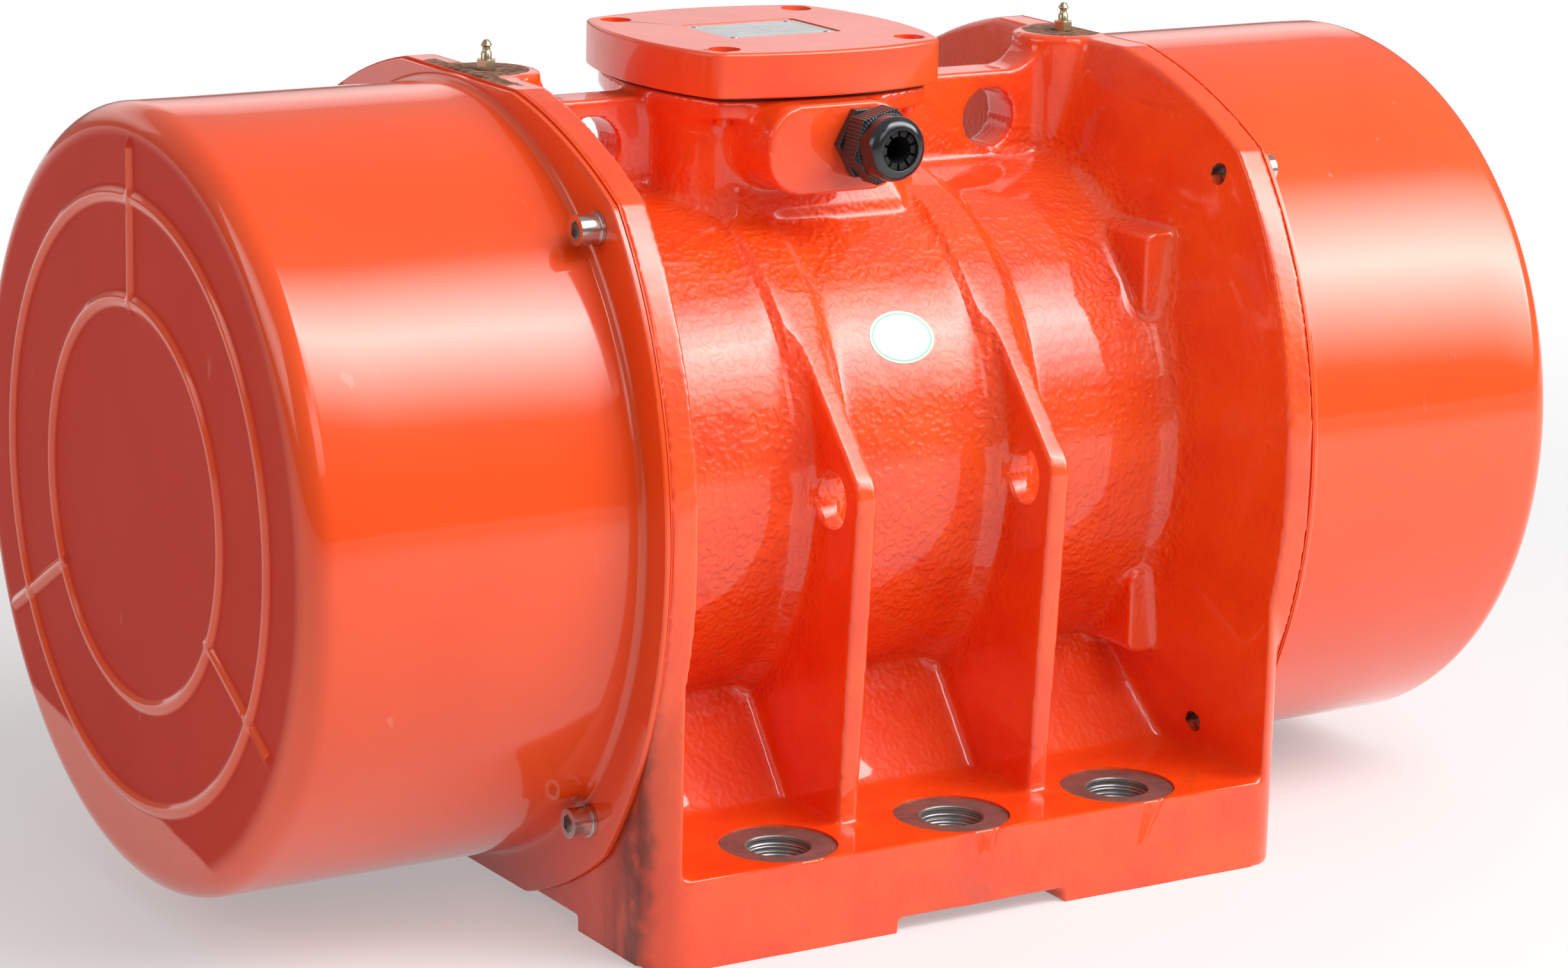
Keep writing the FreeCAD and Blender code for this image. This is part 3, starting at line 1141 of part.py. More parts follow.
def unbalance_weight(x0, bore_r):
    """Sector weight that hangs below a split hub, with its clamp ears above the shaft."""
    x1 = x0 + WEIGHT_THICK
    angle = math.radians(WEIGHT_HALF_ANGLE)
    reach_y, reach_z = WEIGHT_R * math.sin(angle), WEIGHT_R * math.cos(angle)
    sector = path_face([
        ("line", AXIS + V(x0, 0, 0), AXIS + V(x0, reach_y, -reach_z)),
        ("arc", AXIS + V(x0, reach_y, -reach_z), AXIS + V(x0, 0, -WEIGHT_R),
         AXIS + V(x0, -reach_y, -reach_z)),
        ("line", AXIS + V(x0, -reach_y, -reach_z), AXIS + V(x0, 0, 0)),
    ]).extrude(V(WEIGHT_THICK, 0, 0))
    ears = box(x0, x1, -CLAMP_HALF, CLAMP_HALF, SHAFT_Z, SHAFT_Z + CLAMP_TOP)
    slit = box(x0 - CUT, x1 + CUT, -CLAMP_SLIT / 2, CLAMP_SLIT / 2, SHAFT_Z, SHAFT_Z + CLAMP_TOP + CUT)
    bolt_way = rod_y(CLAMP_BOLT_R + SCREW_CLEARANCE, -CLAMP_HALF - CUT, CLAMP_HALF + CUT,
                     x0 + WEIGHT_THICK / 2, SHAFT_Z + CLAMP_BOLT_UP)
    weight = sector.fuse([rod_x(WEIGHT_HUB_R, x0, x1), ears])
    return weight.cut([slit, bolt_way, rod_x(bore_r, x0 - CUT, x1 + CUT)])


def fixed_weight():
    keyway = weight_key()
    return unbalance_weight(FIXED_WEIGHT_X, WEIGHT_SEAT_R).cut(keyway)


def adjustable_weight():
    return unbalance_weight(adjustable_weight_x(), WEIGHT_SEAT_R + SLIDE_GAP)


def clamp_bolt(x0):
    """Clamp bolt through the ears, with its nut on the far side."""
    x, z = x0 + WEIGHT_THICK / 2, SHAFT_Z + CLAMP_BOLT_UP
    bolt = hex_screw(V(x, -CLAMP_HALF, z), V(0, -1, 0), CLAMP_BOLT_FLATS, CLAMP_BOLT_HEAD, CLAMP_BOLT_R,
                     2 * CLAMP_HALF + CLAMP_BOLT_TAIL)
    return bolt.fuse(hexagon(CLAMP_BOLT_FLATS, V(x, CLAMP_HALF, z), V(0, 1, 0), CLAMP_NUT))


def shaft_nut():
    x = shaft_washer_x() + SHAFT_WASHER
    nut = ring_x(NUT_R, NUT_THREAD_R, x, x + NUT_THICK)
    notch = box(x - CUT, x + NUT_THICK + CUT, -NUT_SLOT_HALF, NUT_SLOT_HALF,
                SHAFT_Z + NUT_R - NUT_SLOT_DEEP, SHAFT_Z + NUT_R + CUT)
    return nut.cut(around_x(notch, NUT_SLOTS))


def shaft_washer():
    x = shaft_washer_x()
    return ring_x(SHAFT_WASHER_R, NUT_THREAD_R, x, x + SHAFT_WASHER)


def rotor_end_rings():
    """Cast cage rings with their fan blades, one at each end of the rotor core."""
    outer, end = ROTOR_R - END_RING_OUT, CORE_HALF + END_RING_THICK
    ring = ring_x(outer, outer - END_RING_DEEP, CORE_HALF, end)
    middle, half = outer - END_RING_DEEP / 2, FAN_HIGH / 2
    blade = box(end - CUT, end + FAN_LENGTH, -FAN_THICK / 2, FAN_THICK / 2,
                SHAFT_Z + middle - half, SHAFT_Z + middle + half)
    ring = ring.fuse(around_x(blade, FAN_COUNT))
    return [ring, mirrored(ring)]


def pieces():
    """Every node of the motor: a name and its solid, or its group of equal solids."""
    def pair(name, maker):
        shape = maker()
        group = shape if isinstance(shape, list) else [shape]
        return {name + "_right": group, name + "_left": [mirrored(solid) for solid in group]}

    nodes = {
        "housing": [housing()],
        "stator_core": [stator_core()],
        "stator_windings": [stator_windings()],
        "bearing_housing_bolts": bearing_housing_bolts(),
        "bearing_cap_screws": bearing_cap_screws(),
        "terminal_lid": [terminal_lid()],
        "lid_gasket": [lid_gasket()],
        "lid_screws": lid_screws(),
        "nameplate": [nameplate()],
        "nameplate_rivets": nameplate_rivets(),
        "terminal_board": [terminal_board()],
        "terminal_studs": terminal_studs(),
        "earth_screw": [earth_screw()],
        "gland_body": [gland_body()],
        "gland_seal": [gland_seal()],
        "gland_dome_nut": [gland_dome_nut()],
        "oval_label": [oval_label()],
        "shaft": [both_ends(half_shaft()).removeSplitter()],
        "rotor_core": [ring_x(ROTOR_R, ROTOR_SEAT_R, -CORE_HALF, CORE_HALF)],
        "rotor_end_rings": rotor_end_rings(),
        "weight_keys": [weight_key(), mirrored(weight_key())],
        "shaft_nuts": [shaft_nut(), mirrored(shaft_nut())],
        "shaft_washers": [shaft_washer(), mirrored(shaft_washer())],
        "fixed_weight_bolts": [clamp_bolt(FIXED_WEIGHT_X), mirrored(clamp_bolt(FIXED_WEIGHT_X))],
    }
    nodes.update(pair("end_cover", end_cover))
    nodes.update(pair("cover_gasket", cover_gasket))
    nodes.update(pair("cover_screws", cover_screws))
    nodes.update(pair("cover_washers", cover_washers))
    nodes.update(pair("grease_nipple", grease_nipple))
    nodes.update(pair("bearing_housing", bearing_housing))
    nodes.update(pair("bearing_cap", bearing_cap))
    nodes.update(pair("bearing_outer_ring", bearing_outer_ring))
    nodes.update(pair("bearing_inner_ring", bearing_inner_ring))
    nodes.update(pair("bearing_rollers", bearing_rollers))
    nodes.update(pair("bearing_cage", bearing_cage))
    nodes.update(pair("labyrinth_ring", labyrinth_ring))
    nodes.update(pair("fixed_weight", fixed_weight))
    nodes.update(pair("adjustable_weight", adjustable_weight))
    nodes.update(pair("adjustable_weight_bolt", lambda: clamp_bolt(adjustable_weight_x())))
    return nodes


def main():
    os.makedirs("parts", exist_ok=True)
    for name, solids in pieces().items():
        shape = solids[0] if len(solids) == 1 else Part.makeCompound(solids)
        shape.exportStep("parts/" + name + ".step")
        print(name, len(shape.Solids), "solids", round(shape.Volume / 1000.0, 1), "cm3", shape.isValid())


main()
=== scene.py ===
import math
import bpy
import bmesh
import numpy as np
from mathutils import Vector, Matrix


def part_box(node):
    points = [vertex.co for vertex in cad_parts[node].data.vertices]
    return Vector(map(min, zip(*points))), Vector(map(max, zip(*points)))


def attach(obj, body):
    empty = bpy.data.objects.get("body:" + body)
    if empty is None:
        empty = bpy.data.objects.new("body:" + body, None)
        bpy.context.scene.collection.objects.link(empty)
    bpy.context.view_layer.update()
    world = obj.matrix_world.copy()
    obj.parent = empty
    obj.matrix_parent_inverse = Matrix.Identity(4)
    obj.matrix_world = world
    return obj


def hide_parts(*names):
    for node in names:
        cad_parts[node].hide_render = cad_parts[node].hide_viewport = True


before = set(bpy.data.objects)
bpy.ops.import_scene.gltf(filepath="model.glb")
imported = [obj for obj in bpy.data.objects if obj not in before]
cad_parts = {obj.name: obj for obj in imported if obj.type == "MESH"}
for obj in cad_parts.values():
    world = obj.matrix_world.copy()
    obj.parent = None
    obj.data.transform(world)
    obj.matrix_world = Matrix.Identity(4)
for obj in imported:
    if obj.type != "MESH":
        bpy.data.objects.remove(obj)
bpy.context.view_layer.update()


# ---- Studio --------------------------------------------------------------------------------------
# A pale floor that runs out to white, one long soft box above the front right of the motor, a low
# one behind it, a small one in front and a weak one at its left end. The camera looks down a little.
def linked(name, data):
    """A new object of the scene, at the origin."""
    thing = bpy.data.objects.new(name, data)
    bpy.context.scene.collection.objects.link(thing)
    return thing


camera = linked("camera", bpy.data.cameras.new("camera"))
camera.location = (-1.509, -2.431, 0.927)
camera.rotation_euler = [math.radians(turn) for turn in (76.051, -1.361, -31.609)]
camera.data.lens = 104.96
camera.data.sensor_width = 36.0
bpy.context.scene.camera = camera
bpy.context.scene.view_settings.view_transform = "Standard"

floor_disc = bmesh.new()
bmesh.ops.create_circle(floor_disc, cap_ends=True, segments=96, radius=12.0)
floor = linked("floor", bpy.data.meshes.new("floor"))
floor_disc.to_mesh(floor.data)
floor_disc.free()

world = bpy.data.worlds.new("studio")
bpy.context.scene.world = world
world.use_nodes = True
sky = world.node_tree
sky_place = sky.nodes.new("ShaderNodeTexCoord")
sky_split = sky.nodes.new("ShaderNodeSeparateXYZ")
sky_ramp = sky.nodes.new("ShaderNodeMapRange")
sky_ramp.interpolation_type = "SMOOTHSTEP"
for socket, value in (("From Min", -0.05), ("From Max", 0.9), ("To Min", 0.16), ("To Max", 0.40)):
    sky_ramp.inputs[socket].default_value = value
sky.links.new(sky_place.outputs["Generated"], sky_split.inputs[0])
sky.links.new(sky_split.outputs["Z"], sky_ramp.inputs[0])
sky.links.new(sky_ramp.outputs[0], sky.nodes["Background"].inputs["Strength"])
sky.nodes["Background"].inputs["Color"].default_value = (1.0, 0.99, 0.98, 1)


def soft_box(name, place, aim, along, width, height, level, fade):
    """An area lamp that faces a point, long side along a direction, brightest along its middle."""
    lamp = linked(name, bpy.data.lights.new(name, "AREA"))
    lamp.data.shape = "RECTANGLE"
    lamp.data.size, lamp.data.size_y = width, height
    lamp.data.energy = level * math.pi * width * height
    back = (Vector(place) - Vector(aim)).normalized()
    side = (Vector(along) - back * Vector(along).dot(back)).normalized()
    turn = Matrix((side, back.cross(side), back)).transposed().to_4x4()
    lamp.matrix_world = Matrix.Translation(place) @ turn
    lamp.visible_camera = False
    lamp.data.use_nodes = True
    cloth = lamp.data.node_tree
    where, split = cloth.nodes.new("ShaderNodeNewGeometry"), cloth.nodes.new("ShaderNodeSeparateXYZ")
    cloth.links.new(where.outputs["Parametric"], split.inputs[0])
    last = split.outputs["Y"]
    for kind, value in (("SUBTRACT", 0.5), ("ABSOLUTE", 0.0), ("MULTIPLY", -2.0), ("ADD", 1.0),
                        ("POWER", fade)):
        step = cloth.nodes.new("ShaderNodeMath")
        step.operation = kind
        step.inputs[1].default_value = value
        cloth.links.new(last, step.inputs[0])
        last = step.outputs[0]
    cloth.links.new(last, cloth.nodes["Emission"].inputs["Strength"])


soft_box("front_box", (1.3, -1.53, 2.0), (0, 0, 0.3), (0.93, -0.04, -0.36), 3.4, 2.3, 9.5, 1.25)
soft_box("back_box", (0.4, 3.6, 1.5), (0, 0, 0.4), (1, 0, 0), 6.0, 1.6, 0.9, 0.5)
soft_box("fill_box", (-0.6, -3.2, 2.0), (0, 0, 0.2), (1, 0, 0), 1.6, 1.6, 2.0, 0.5)
soft_box("left_box", (-3.2, 0.4, 1.5), (-0.4, 0, 0.2), (0, 1, 0), 2.4, 1.6, 2.2, 0.5)


# ---- Motor casting -------------------------------------------------------------------------------
# Barrel, feet, end flanges, ribs, lugs and terminal neck are one grey-iron sand casting. Its inside
# corners are filleted and its edges are eased by fettling, and it is sprayed in thick glossy paint.
class Shade:
    """A value that varies over a surface. Arithmetic on it adds Math nodes to its sheet."""

    def __init__(self, sheet, socket):
        self.sheet, self.socket = sheet, socket

    def math(self, kind, *terms):
        return self.sheet.node("ShaderNodeMath", {"operation": kind}, dict(enumerate(terms)))

    def __add__(self, other):
        return self.math("ADD", self, other)

    def __sub__(self, other):
        return self.math("SUBTRACT", self, other)

    def __rsub__(self, other):
        return self.math("SUBTRACT", other, self)

    def __mul__(self, other):
        return self.math("MULTIPLY", self, other)

    def __truediv__(self, other):
        return self.math("DIVIDE", self, other)

    def __pow__(self, other):
        return self.math("POWER", self, other)

    def __abs__(self):
        return self.math("ABSOLUTE", self)

    __radd__, __rmul__ = __add__, __mul__

    def rise(self, low, high):
        """0 up to low, 1 from high on, and smooth between. With high below low it falls."""
        return self.sheet.node("ShaderNodeMapRange", {"interpolation_type": "SMOOTHSTEP"},
                               {0: self, 1: low, 2: high, 3: 0.0, 4: 1.0})


class Sheet:
    """One finish: a material with a single Principled shader, on the motor's own coordinates."""

    def __init__(self, name, **fixed):
        self.material = bpy.data.materials.new(name)
        self.material.use_nodes = True
        self.tree = self.material.node_tree
        self.shader = self.tree.nodes["Principled BSDF"]
        for socket, value in fixed.items():
            self.shader.inputs[socket.replace("_", " ")].default_value = value
        self.place = self.node("ShaderNodeTexCoord", {}, {}, "Object")

    def node(self, kind, settings, inputs, output=0):
        """Any node: its type, its settings, then the values or links of its sockets."""
        made = self.tree.nodes.new(kind)
        for name, value in settings.items():
            setattr(made, name, value)
        for socket, value in inputs.items():
            if isinstance(value, Shade):
                self.tree.links.new(value.socket, made.inputs[socket])
            else:
                made.inputs[socket].default_value = value
        return Shade(self, made.outputs[output])

    def axis(self, name):
        return self.node("ShaderNodeSeparateXYZ", {}, {0: self.place}, name)

    def noise(self, scale, detail=2.0, stretch=(1, 1, 1)):
        spread = self.node("ShaderNodeVectorMath", {"operation": "MULTIPLY"}, {0: self.place, 1: stretch})
        return self.node("ShaderNodeTexNoise", {}, {"Vector": spread, "Scale": scale, "Detail": detail})

    def mix(self, mask, low, high):
        """One colour where the mask is 0 and another where it is 1."""
        low, high = (tone if isinstance(tone, Shade) else (*tone, 1.0) for tone in (low, high))
        return self.node("ShaderNodeMix", {"data_type": "RGBA"}, {0: mask, 6: low, 7: high}, 2)

    def colour(self, tone):
        self.tree.links.new(tone.socket, self.shader.inputs["Base Color"])

    def feed(self, socket, value):
        self.tree.links.new(value.socket, self.shader.inputs[socket])

    def bump(self, height, depth):
        """Height from 0 to 1 stands up to depth metres proud."""
        relief = self.node("ShaderNodeBump", {}, {"Height": height, "Distance": depth, "Strength": 1.0})
        self.feed("Normal", relief)


RED = (0.90, 0.078, 0.005)
DEEP_RED = (0.84, 0.052, 0.004)
RUST = (0.11, 0.045, 0.026)
SHAFT_Z = 0.255
# the middle of the cover's box, which lies 1.5 mm below the shaft since the lip isn't symmetric
AXIS_Z = (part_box("end_cover_left")[0].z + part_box("end_cover_left")[1].z) / 2
PAD_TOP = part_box("grease_nipple_left")[0].z
NIPPLE_X = 0.213
SCREW_AT, TAPPED_R = 0.1785, 0.006
RIB_X, RIB_HOLE_Y, RIB_HOLE_Z, RIB_HOLE_R = 0.07, 0.1885, 0.257, 0.0175
SLING_X, SLING_Z = 0.1465, 0.448
FLANGE_JOINT_X = 0.2285
HOLE_PITCH, HOLE_Y = 0.125, 0.215
HOLE_R, SPOT_R, SPOT_Z = 0.0195, 0.036, 0.0545
FOOT_HOLES = [(x, y) for x in (-HOLE_PITCH, 0.0, HOLE_PITCH) for y in (-HOLE_Y, HOLE_Y)]
VOXEL, BORE_CLEAR, MOST_TRIANGLES = 0.0020, 0.158, 190000


def casting_paint():
    """Thick orange-red enamel over a sand-cast skin, with bare and dirty places and painted shade in the tapped
    holes.
    """
    sheet = Sheet("casting_paint", Coat_Roughness=0.04, Coat_IOR=1.6, Specular_IOR_Level=0.3)
    x, y, z = (sheet.axis(name) for name in "XYZ")
    end, side, up = abs(x), abs(y), z - SHAFT_Z
    across = (y * y + up * up) ** 0.5
    mottle = sheet.noise(26, 3)
    ragged = sheet.noise(150, 3)
    tone = sheet.mix(mottle.rise(0.35, 0.75), RED, DEEP_RED)
    # bare iron left along the gasket joint and on the turned faces under the grease nipples
    pad = (((end - NIPPLE_X) ** 2.0 + y * y) ** 0.5 + 0.003 * ragged).rise(0.0285, 0.0275)
    pad = pad * z.rise(PAD_TOP - 0.0035, PAD_TOP - 0.0025)
    strip = (0 - x + 0.006 * ragged).rise(0.2215, 0.2225) * z.rise(0.490, 0.492)
    strip = strip * (y + 0.02 * ragged).rise(-0.050, -0.046) * (y + 0.02 * ragged).rise(0.066, 0.062)
    bare = sheet.node("ShaderNodeMath", {"operation": "MAXIMUM"}, {0: pad, 1: strip})
    rust = sheet.mix(sheet.noise(220, 3).rise(0.35, 0.65), RUST, (0.30, 0.15, 0.09))
    # oily dirt that has run down the flange beside the cover lip
    dirt = (end + 0.012 * sheet.noise(60, 3)).rise(0.2300, 0.2365) * z.rise(0.19, 0.10)
    dirt = dirt * side.rise(0.17, 0.22) * sheet.noise(35, 3, (1, 1, 0.25)).rise(0.3, 0.6)
    tone = sheet.mix(dirt * 0.8, tone, (0.10, 0.030, 0.022))
    sheet.feed("Roughness", 0.32 + 0.16 * mottle + 0.35 * bare)
    sheet.feed("Coat Weight", 0.9 * (1 - bare) * (1 - 0.6 * dirt))
    # the tapped holes are bare iron inside, painted near black: painted shade over the iron's own dark grey
    corner = ((side - SCREW_AT) ** 2.0 + (abs(up) - SCREW_AT) ** 2.0) ** 0.5
    shaded_tapped_bore = corner.rise(0.0066, 0.0060) * end.rise(0.190, 0.196)
    sheet.colour(sheet.mix(shaded_tapped_bore, sheet.mix(bare, tone, rust), (0.03, 0.018, 0.015)))
    skin = across.rise(0.20, 0.175)
    pimples = sheet.noise(260, 0).rise(0.38, 0.72)
    flow = pimples * (0.25 + 0.75 * skin) + 2.4 * sheet.noise(90, 0) * (0.35 + 0.65 * skin)
    sheet.bump(flow, 0.0006)
    return sheet.material


def merged(*nodes):
    """A bmesh of CAD nodes' meshes with their triangles joined up."""
    shape = bmesh.new()
    for node in nodes:
        shape.from_mesh(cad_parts[node].data)
    bmesh.ops.remove_doubles(shape, verts=shape.verts, dist=2e-6)
    bmesh.ops.recalc_face_normals(shape, faces=shape.faces)
    return shape


def fitted(name, shape, body, finish, replaced=(), smooth=30):
    """Makes a finished bmesh a piece of the motor that rides on a body in place of its CAD nodes."""
    mesh = bpy.data.meshes.new(name)
    shape.to_mesh(mesh)
    shape.free()
    mesh.shade_smooth()
    mesh.set_sharp_from_angle(angle=math.radians(smooth))
    mesh.materials.clear()
    mesh.materials.append(finish)
    part = linked(name, mesh)
    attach(part, body)
    if replaced:
        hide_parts(*replaced)
    return part


def worked(part):
    """The mesh of a part with its modifiers applied."""
    bpy.context.view_layer.update()
    return bpy.data.meshes.new_from_object(part.evaluated_get(bpy.context.evaluated_depsgraph_get()))


def eased(mesh, free, filled, rounded):
    """Fettles a dense casting: fills its inside corners to a fillet, then rounds all its edges."""
    count = len(mesh.vertices)
    place = np.empty(count * 3)
    mesh.vertices.foreach_get("co", place)
    place = place.reshape(-1, 3)
    ends = np.empty(len(mesh.edges) * 2, np.int64)
    mesh.edges.foreach_get("vertices", ends)
    first, second = ends.reshape(-1, 2).T
    near = np.maximum(np.bincount(ends, minlength=count), 1)[:, None]
    hold = free(place)[:, None]
    normal = np.empty(count * 3)
    for turn in range(filled + rounded):
        if turn < filled and turn % 5 == 0:
            mesh.vertices.foreach_set("co", place.ravel())
            mesh.update()
            mesh.vertex_normals.foreach_get("vector", normal)
            out = normal.reshape(-1, 3)
        middle = np.stack([np.bincount(first, place[second, i], count)
                           + np.bincount(second, place[first, i], count) for i in range(3)], 1) / near
        shift = middle - place
        if turn < filled:
            shift = out * np.clip((shift * out).sum(1), 0, None)[:, None]
        place = place + shift * hold * (0.9 if turn < filled else 0.6)
    mesh.vertices.foreach_set("co", place.ravel())
    mesh.update()


def near_foot_hole(place):
    return np.min([np.hypot(place[:, 0] - x, place[:, 1] - y) for x, y in FOOT_HOLES], 0)


def free_skin(place):
    """1 on the cast skin and 0 on the machined bore, spot faces and tapped holes."""
    across = np.hypot(place[:, 1], place[:, 2] - AXIS_Z)
    skin = np.clip((across - BORE_CLEAR) / 0.002, 0, 1) + (place[:, 2] > 0.415)
    skin *= (near_foot_hole(place) > 0.041) | (place[:, 2] > 0.1)
    corner = np.hypot(abs(place[:, 1]) - SCREW_AT, abs(place[:, 2] - AXIS_Z) - SCREW_AT)
    side_hole = np.hypot(abs(place[:, 1]) - RIB_HOLE_Y, place[:, 2] - RIB_HOLE_Z)
    sling_hole = np.hypot(abs(place[:, 0]) - SLING_X, place[:, 2] - SLING_Z)
    cast_hole = np.clip((np.minimum(side_hole, sling_hole) - 0.020) / 0.004, 0.25, 1)
    joint = np.where(abs(place[:, 0]) > FLANGE_JOINT_X, 0.35, 1.0)
    return np.clip(skin, 0, 1) * (corner > 0.009) * cast_hole * joint * np.clip(place[:, 2] / 0.02, 0.3, 1)


block = merged("housing")
rough = linked("rough_casting", bpy.data.meshes.new("rough_casting"))
block.to_mesh(rough.data)
block.free()
# the four side holes in the ribs are opened up wider than the solids have them
drill = bmesh.new()
for rib_x in (-RIB_X, RIB_X):
    for rib_y in (-RIB_HOLE_Y, RIB_HOLE_Y):
        turn = (Matrix.Translation((rib_x, rib_y, RIB_HOLE_Z)) @ Matrix.Diagonal((1, 0.93, 1.02, 1))
                @ Matrix.Rotation(math.pi / 2, 4, "Y"))
        bmesh.ops.create_cone(drill, cap_ends=True, segments=64, radius1=RIB_HOLE_R, radius2=RIB_HOLE_R,
                              depth=0.03, matrix=turn)
drill_part = linked("rib_drill", bpy.data.meshes.new("rib_drill"))
drill.to_mesh(drill_part.data)
drill.free()
holes = rough.modifiers.new("holes", "BOOLEAN")
holes.operation, holes.object = "DIFFERENCE", drill_part
true_casting = linked("true_casting", worked(rough))
remesh = rough.modifiers.new("skin", "REMESH")
remesh.mode = "VOXEL"
remesh.voxel_size = VOXEL
onto = rough.modifiers.new("onto", "SHRINKWRAP")
onto.target, onto.wrap_method = true_casting, "NEAREST_SURFACEPOINT"
skin_mesh = worked(rough)
rough.modifiers.clear()
bpy.data.objects.remove(true_casting)
bpy.data.objects.remove(drill_part)
eased(skin_mesh, free_skin, 14, 3)

# the spot faces and foot holes get turned pieces of their own, so the skin keeps clear of them
place = np.empty(len(skin_mesh.vertices) * 3)
skin_mesh.vertices.foreach_get("co", place)
place = place.reshape(-1, 3)
for hole_x, hole_y in FOOT_HOLES:
    middle = np.array((hole_x, hole_y))
    away = place[:, :2] - middle
    reach = np.hypot(*away.T)
    on_top = (place[:, 2] > 0.045) & (place[:, 2] < 0.075)
    inner = on_top & (reach > SPOT_R - 0.0024) & (reach < SPOT_R + 0.0001)
    edge = inner | ((place[:, 2] > 0.0553) & on_top & (reach >= SPOT_R + 0.0001) & (reach < SPOT_R + 0.0022))
    place[edge, :2] = middle + away[edge] / reach[edge, None] * (SPOT_R + 0.0001)
    pit = inner | (on_top & (reach <= SPOT_R - 0.0024))
    place[pit, 2] = np.minimum(place[pit, 2], SPOT_Z - 0.0008)
    wall = (reach < HOLE_R + 0.0015) & (place[:, 2] < 0.075)
    place[wall, :2] = middle + away[wall] / np.maximum(reach[wall, None], 1e-6) * (HOLE_R + 0.0015)
for screw_y, screw_z in ((y, AXIS_Z + up) for y in (-SCREW_AT, SCREW_AT) for up in (-SCREW_AT, SCREW_AT)):
    middle = np.array((screw_y, screw_z))
    away = place[:, 1:] - middle
    reach = np.hypot(*away.T)
    rim = reach < TAPPED_R + 0.0018
    place[rim, 1:] = middle + away[rim] / np.maximum(reach[rim, None], 1e-6) * TAPPED_R
skin_mesh.vertices.foreach_set("co", place.ravel())
rough.data = skin_mesh
thin = rough.modifiers.new("thin", "DECIMATE")
thin.ratio = min(1.0, MOST_TRIANGLES / (2 * len(skin_mesh.polygons)))
casting_mesh = worked(rough)
bpy.data.objects.remove(rough)

enamel = casting_paint()
casting_mesh.name = "motor_casting"
casting_mesh.materials.clear()
casting_mesh.materials.append(enamel)
casting_mesh.shade_smooth()
casting_mesh.set_sharp_from_angle(angle=math.radians(50))
casting = linked("motor_casting", casting_mesh)
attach(casting, "stator")
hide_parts("housing")


# ---- Foot holes ----------------------------------------------------------------------------------
# Six holes for the mounting bolts, drilled through the feet after painting and spot-faced on top,
# so that bare grey iron shows: grooved by the tool in the bores and finely ringed round them.
def turned_iron():
    sheet = Sheet("turned_iron", Metallic=0.75)
    x, y, z = (sheet.axis(name) for name in "XYZ")
    along = (x + HOLE_PITCH / 2) / HOLE_PITCH
    nearest = (along - sheet.node("ShaderNodeMath", {"operation": "FLOOR"}, {0: along}) - 0.5) * HOLE_PITCH
    across = abs(y) - HOLE_Y
    reach = (nearest * nearest + across * across) ** 0.5
    rings = sheet.node("ShaderNodeMath", {"operation": "SINE"}, {0: reach * 5200 + 2.5 * sheet.noise(90)})
    threads = sheet.node("ShaderNodeMath", {"operation": "SINE"}, {0: z * 3600 + 2.0 * sheet.noise(120)})
    in_bore = reach.rise(0.0203, 0.0198)
    tool_marks_and_glint = rings * (1 - in_bore) + threads * in_bore
    stain = sheet.noise(55, 3).rise(0.35, 0.7)
    tone = sheet.mix(stain, (0.30, 0.26, 0.235), (0.17, 0.11, 0.09))
    tone = sheet.mix(in_bore, tone, (0.26, 0.255, 0.25))
    # painted highlight: the tool's rings and grooves are painted lighter along their crests, as a glint; the
    # bump gives their relief
    sheet.colour(sheet.mix(tool_marks_and_glint.rise(0.1, 1.0) * (0.35 + 0.4 * in_bore), tone, (0.52, 0.50, 0.48)))
    sheet.feed("Roughness", 0.34 + 0.2 * stain)
    sheet.bump(tool_marks_and_glint * 0.5 + 0.5, 0.00016)
    return sheet.material


GROOVE_DEEP, GROOVE_STEP, RING_DEEP, SLEEVE = 0.00055, 0.0012, 0.003, 0.002
PAD_BASE, RELIEF_BASE = 0.001, 0.010
spots = bmesh.new()
for hole_x, hole_y in FOOT_HOLES:
    # the middle holes come out in the foot's relief, above the pads
    base = PAD_BASE if hole_x else RELIEF_BASE
    grooves = [(HOLE_R + GROOVE_DEEP * (step % 2), base + GROOVE_STEP * step)
               for step in range(int((SPOT_Z - 0.0015 - base) / GROOVE_STEP))]
    section = grooves + [(HOLE_R, SPOT_Z - 0.0008), (HOLE_R + 0.0008, SPOT_Z), (SPOT_R, SPOT_Z),
                         (SPOT_R, SPOT_Z - RING_DEEP), (HOLE_R + SLEEVE, SPOT_Z - RING_DEEP),
                         (HOLE_R + SLEEVE, base)]
    points = [spots.verts.new((hole_x + r, hole_y, z)) for r, z in section]
    lines = [spots.edges.new((points[i - 1], points[i])) for i in range(len(points))]
    bmesh.ops.spin(spots, geom=points + lines, cent=(hole_x, hole_y, 0), axis=(0, 0, 1), angle=math.tau,
                   steps=96, use_merge=True)
bmesh.ops.remove_doubles(spots, verts=spots.verts, dist=1e-6)
bmesh.ops.recalc_face_normals(spots, faces=spots.faces)
fitted("foot_hole_spot_faces", spots, "stator", turned_iron())


# ---- End covers ----------------------------------------------------------------------------------
# Drums of drawn sheet steel over the weights: a flat lip in the flange's outline, a flared root, a
# rounded rim and an end face stiffened by two pressed rings and three short spokes. Sprayed smooth.
COVER_R, COVER_END, CORNER_R, SHEET_T, LIP_X, FLARE_R = 0.238, 0.447, 0.017, 0.0035, 0.231, 0.005
BEADS, BEAD_HALF, BEAD_RISE = (0.122, 0.184), 0.0056, 0.0029
SPOKES = [math.radians(turn) for turn in (90, 210, 330)]
SPOKE_FROM, SPOKE_TO = 0.119, 0.214
CORNER, SIDE, TOP, TOP_HALF, TOP_SWELL, FOOT_CUT = 0.195, 0.26198, 0.243, 0.072, 0.006, 0.246


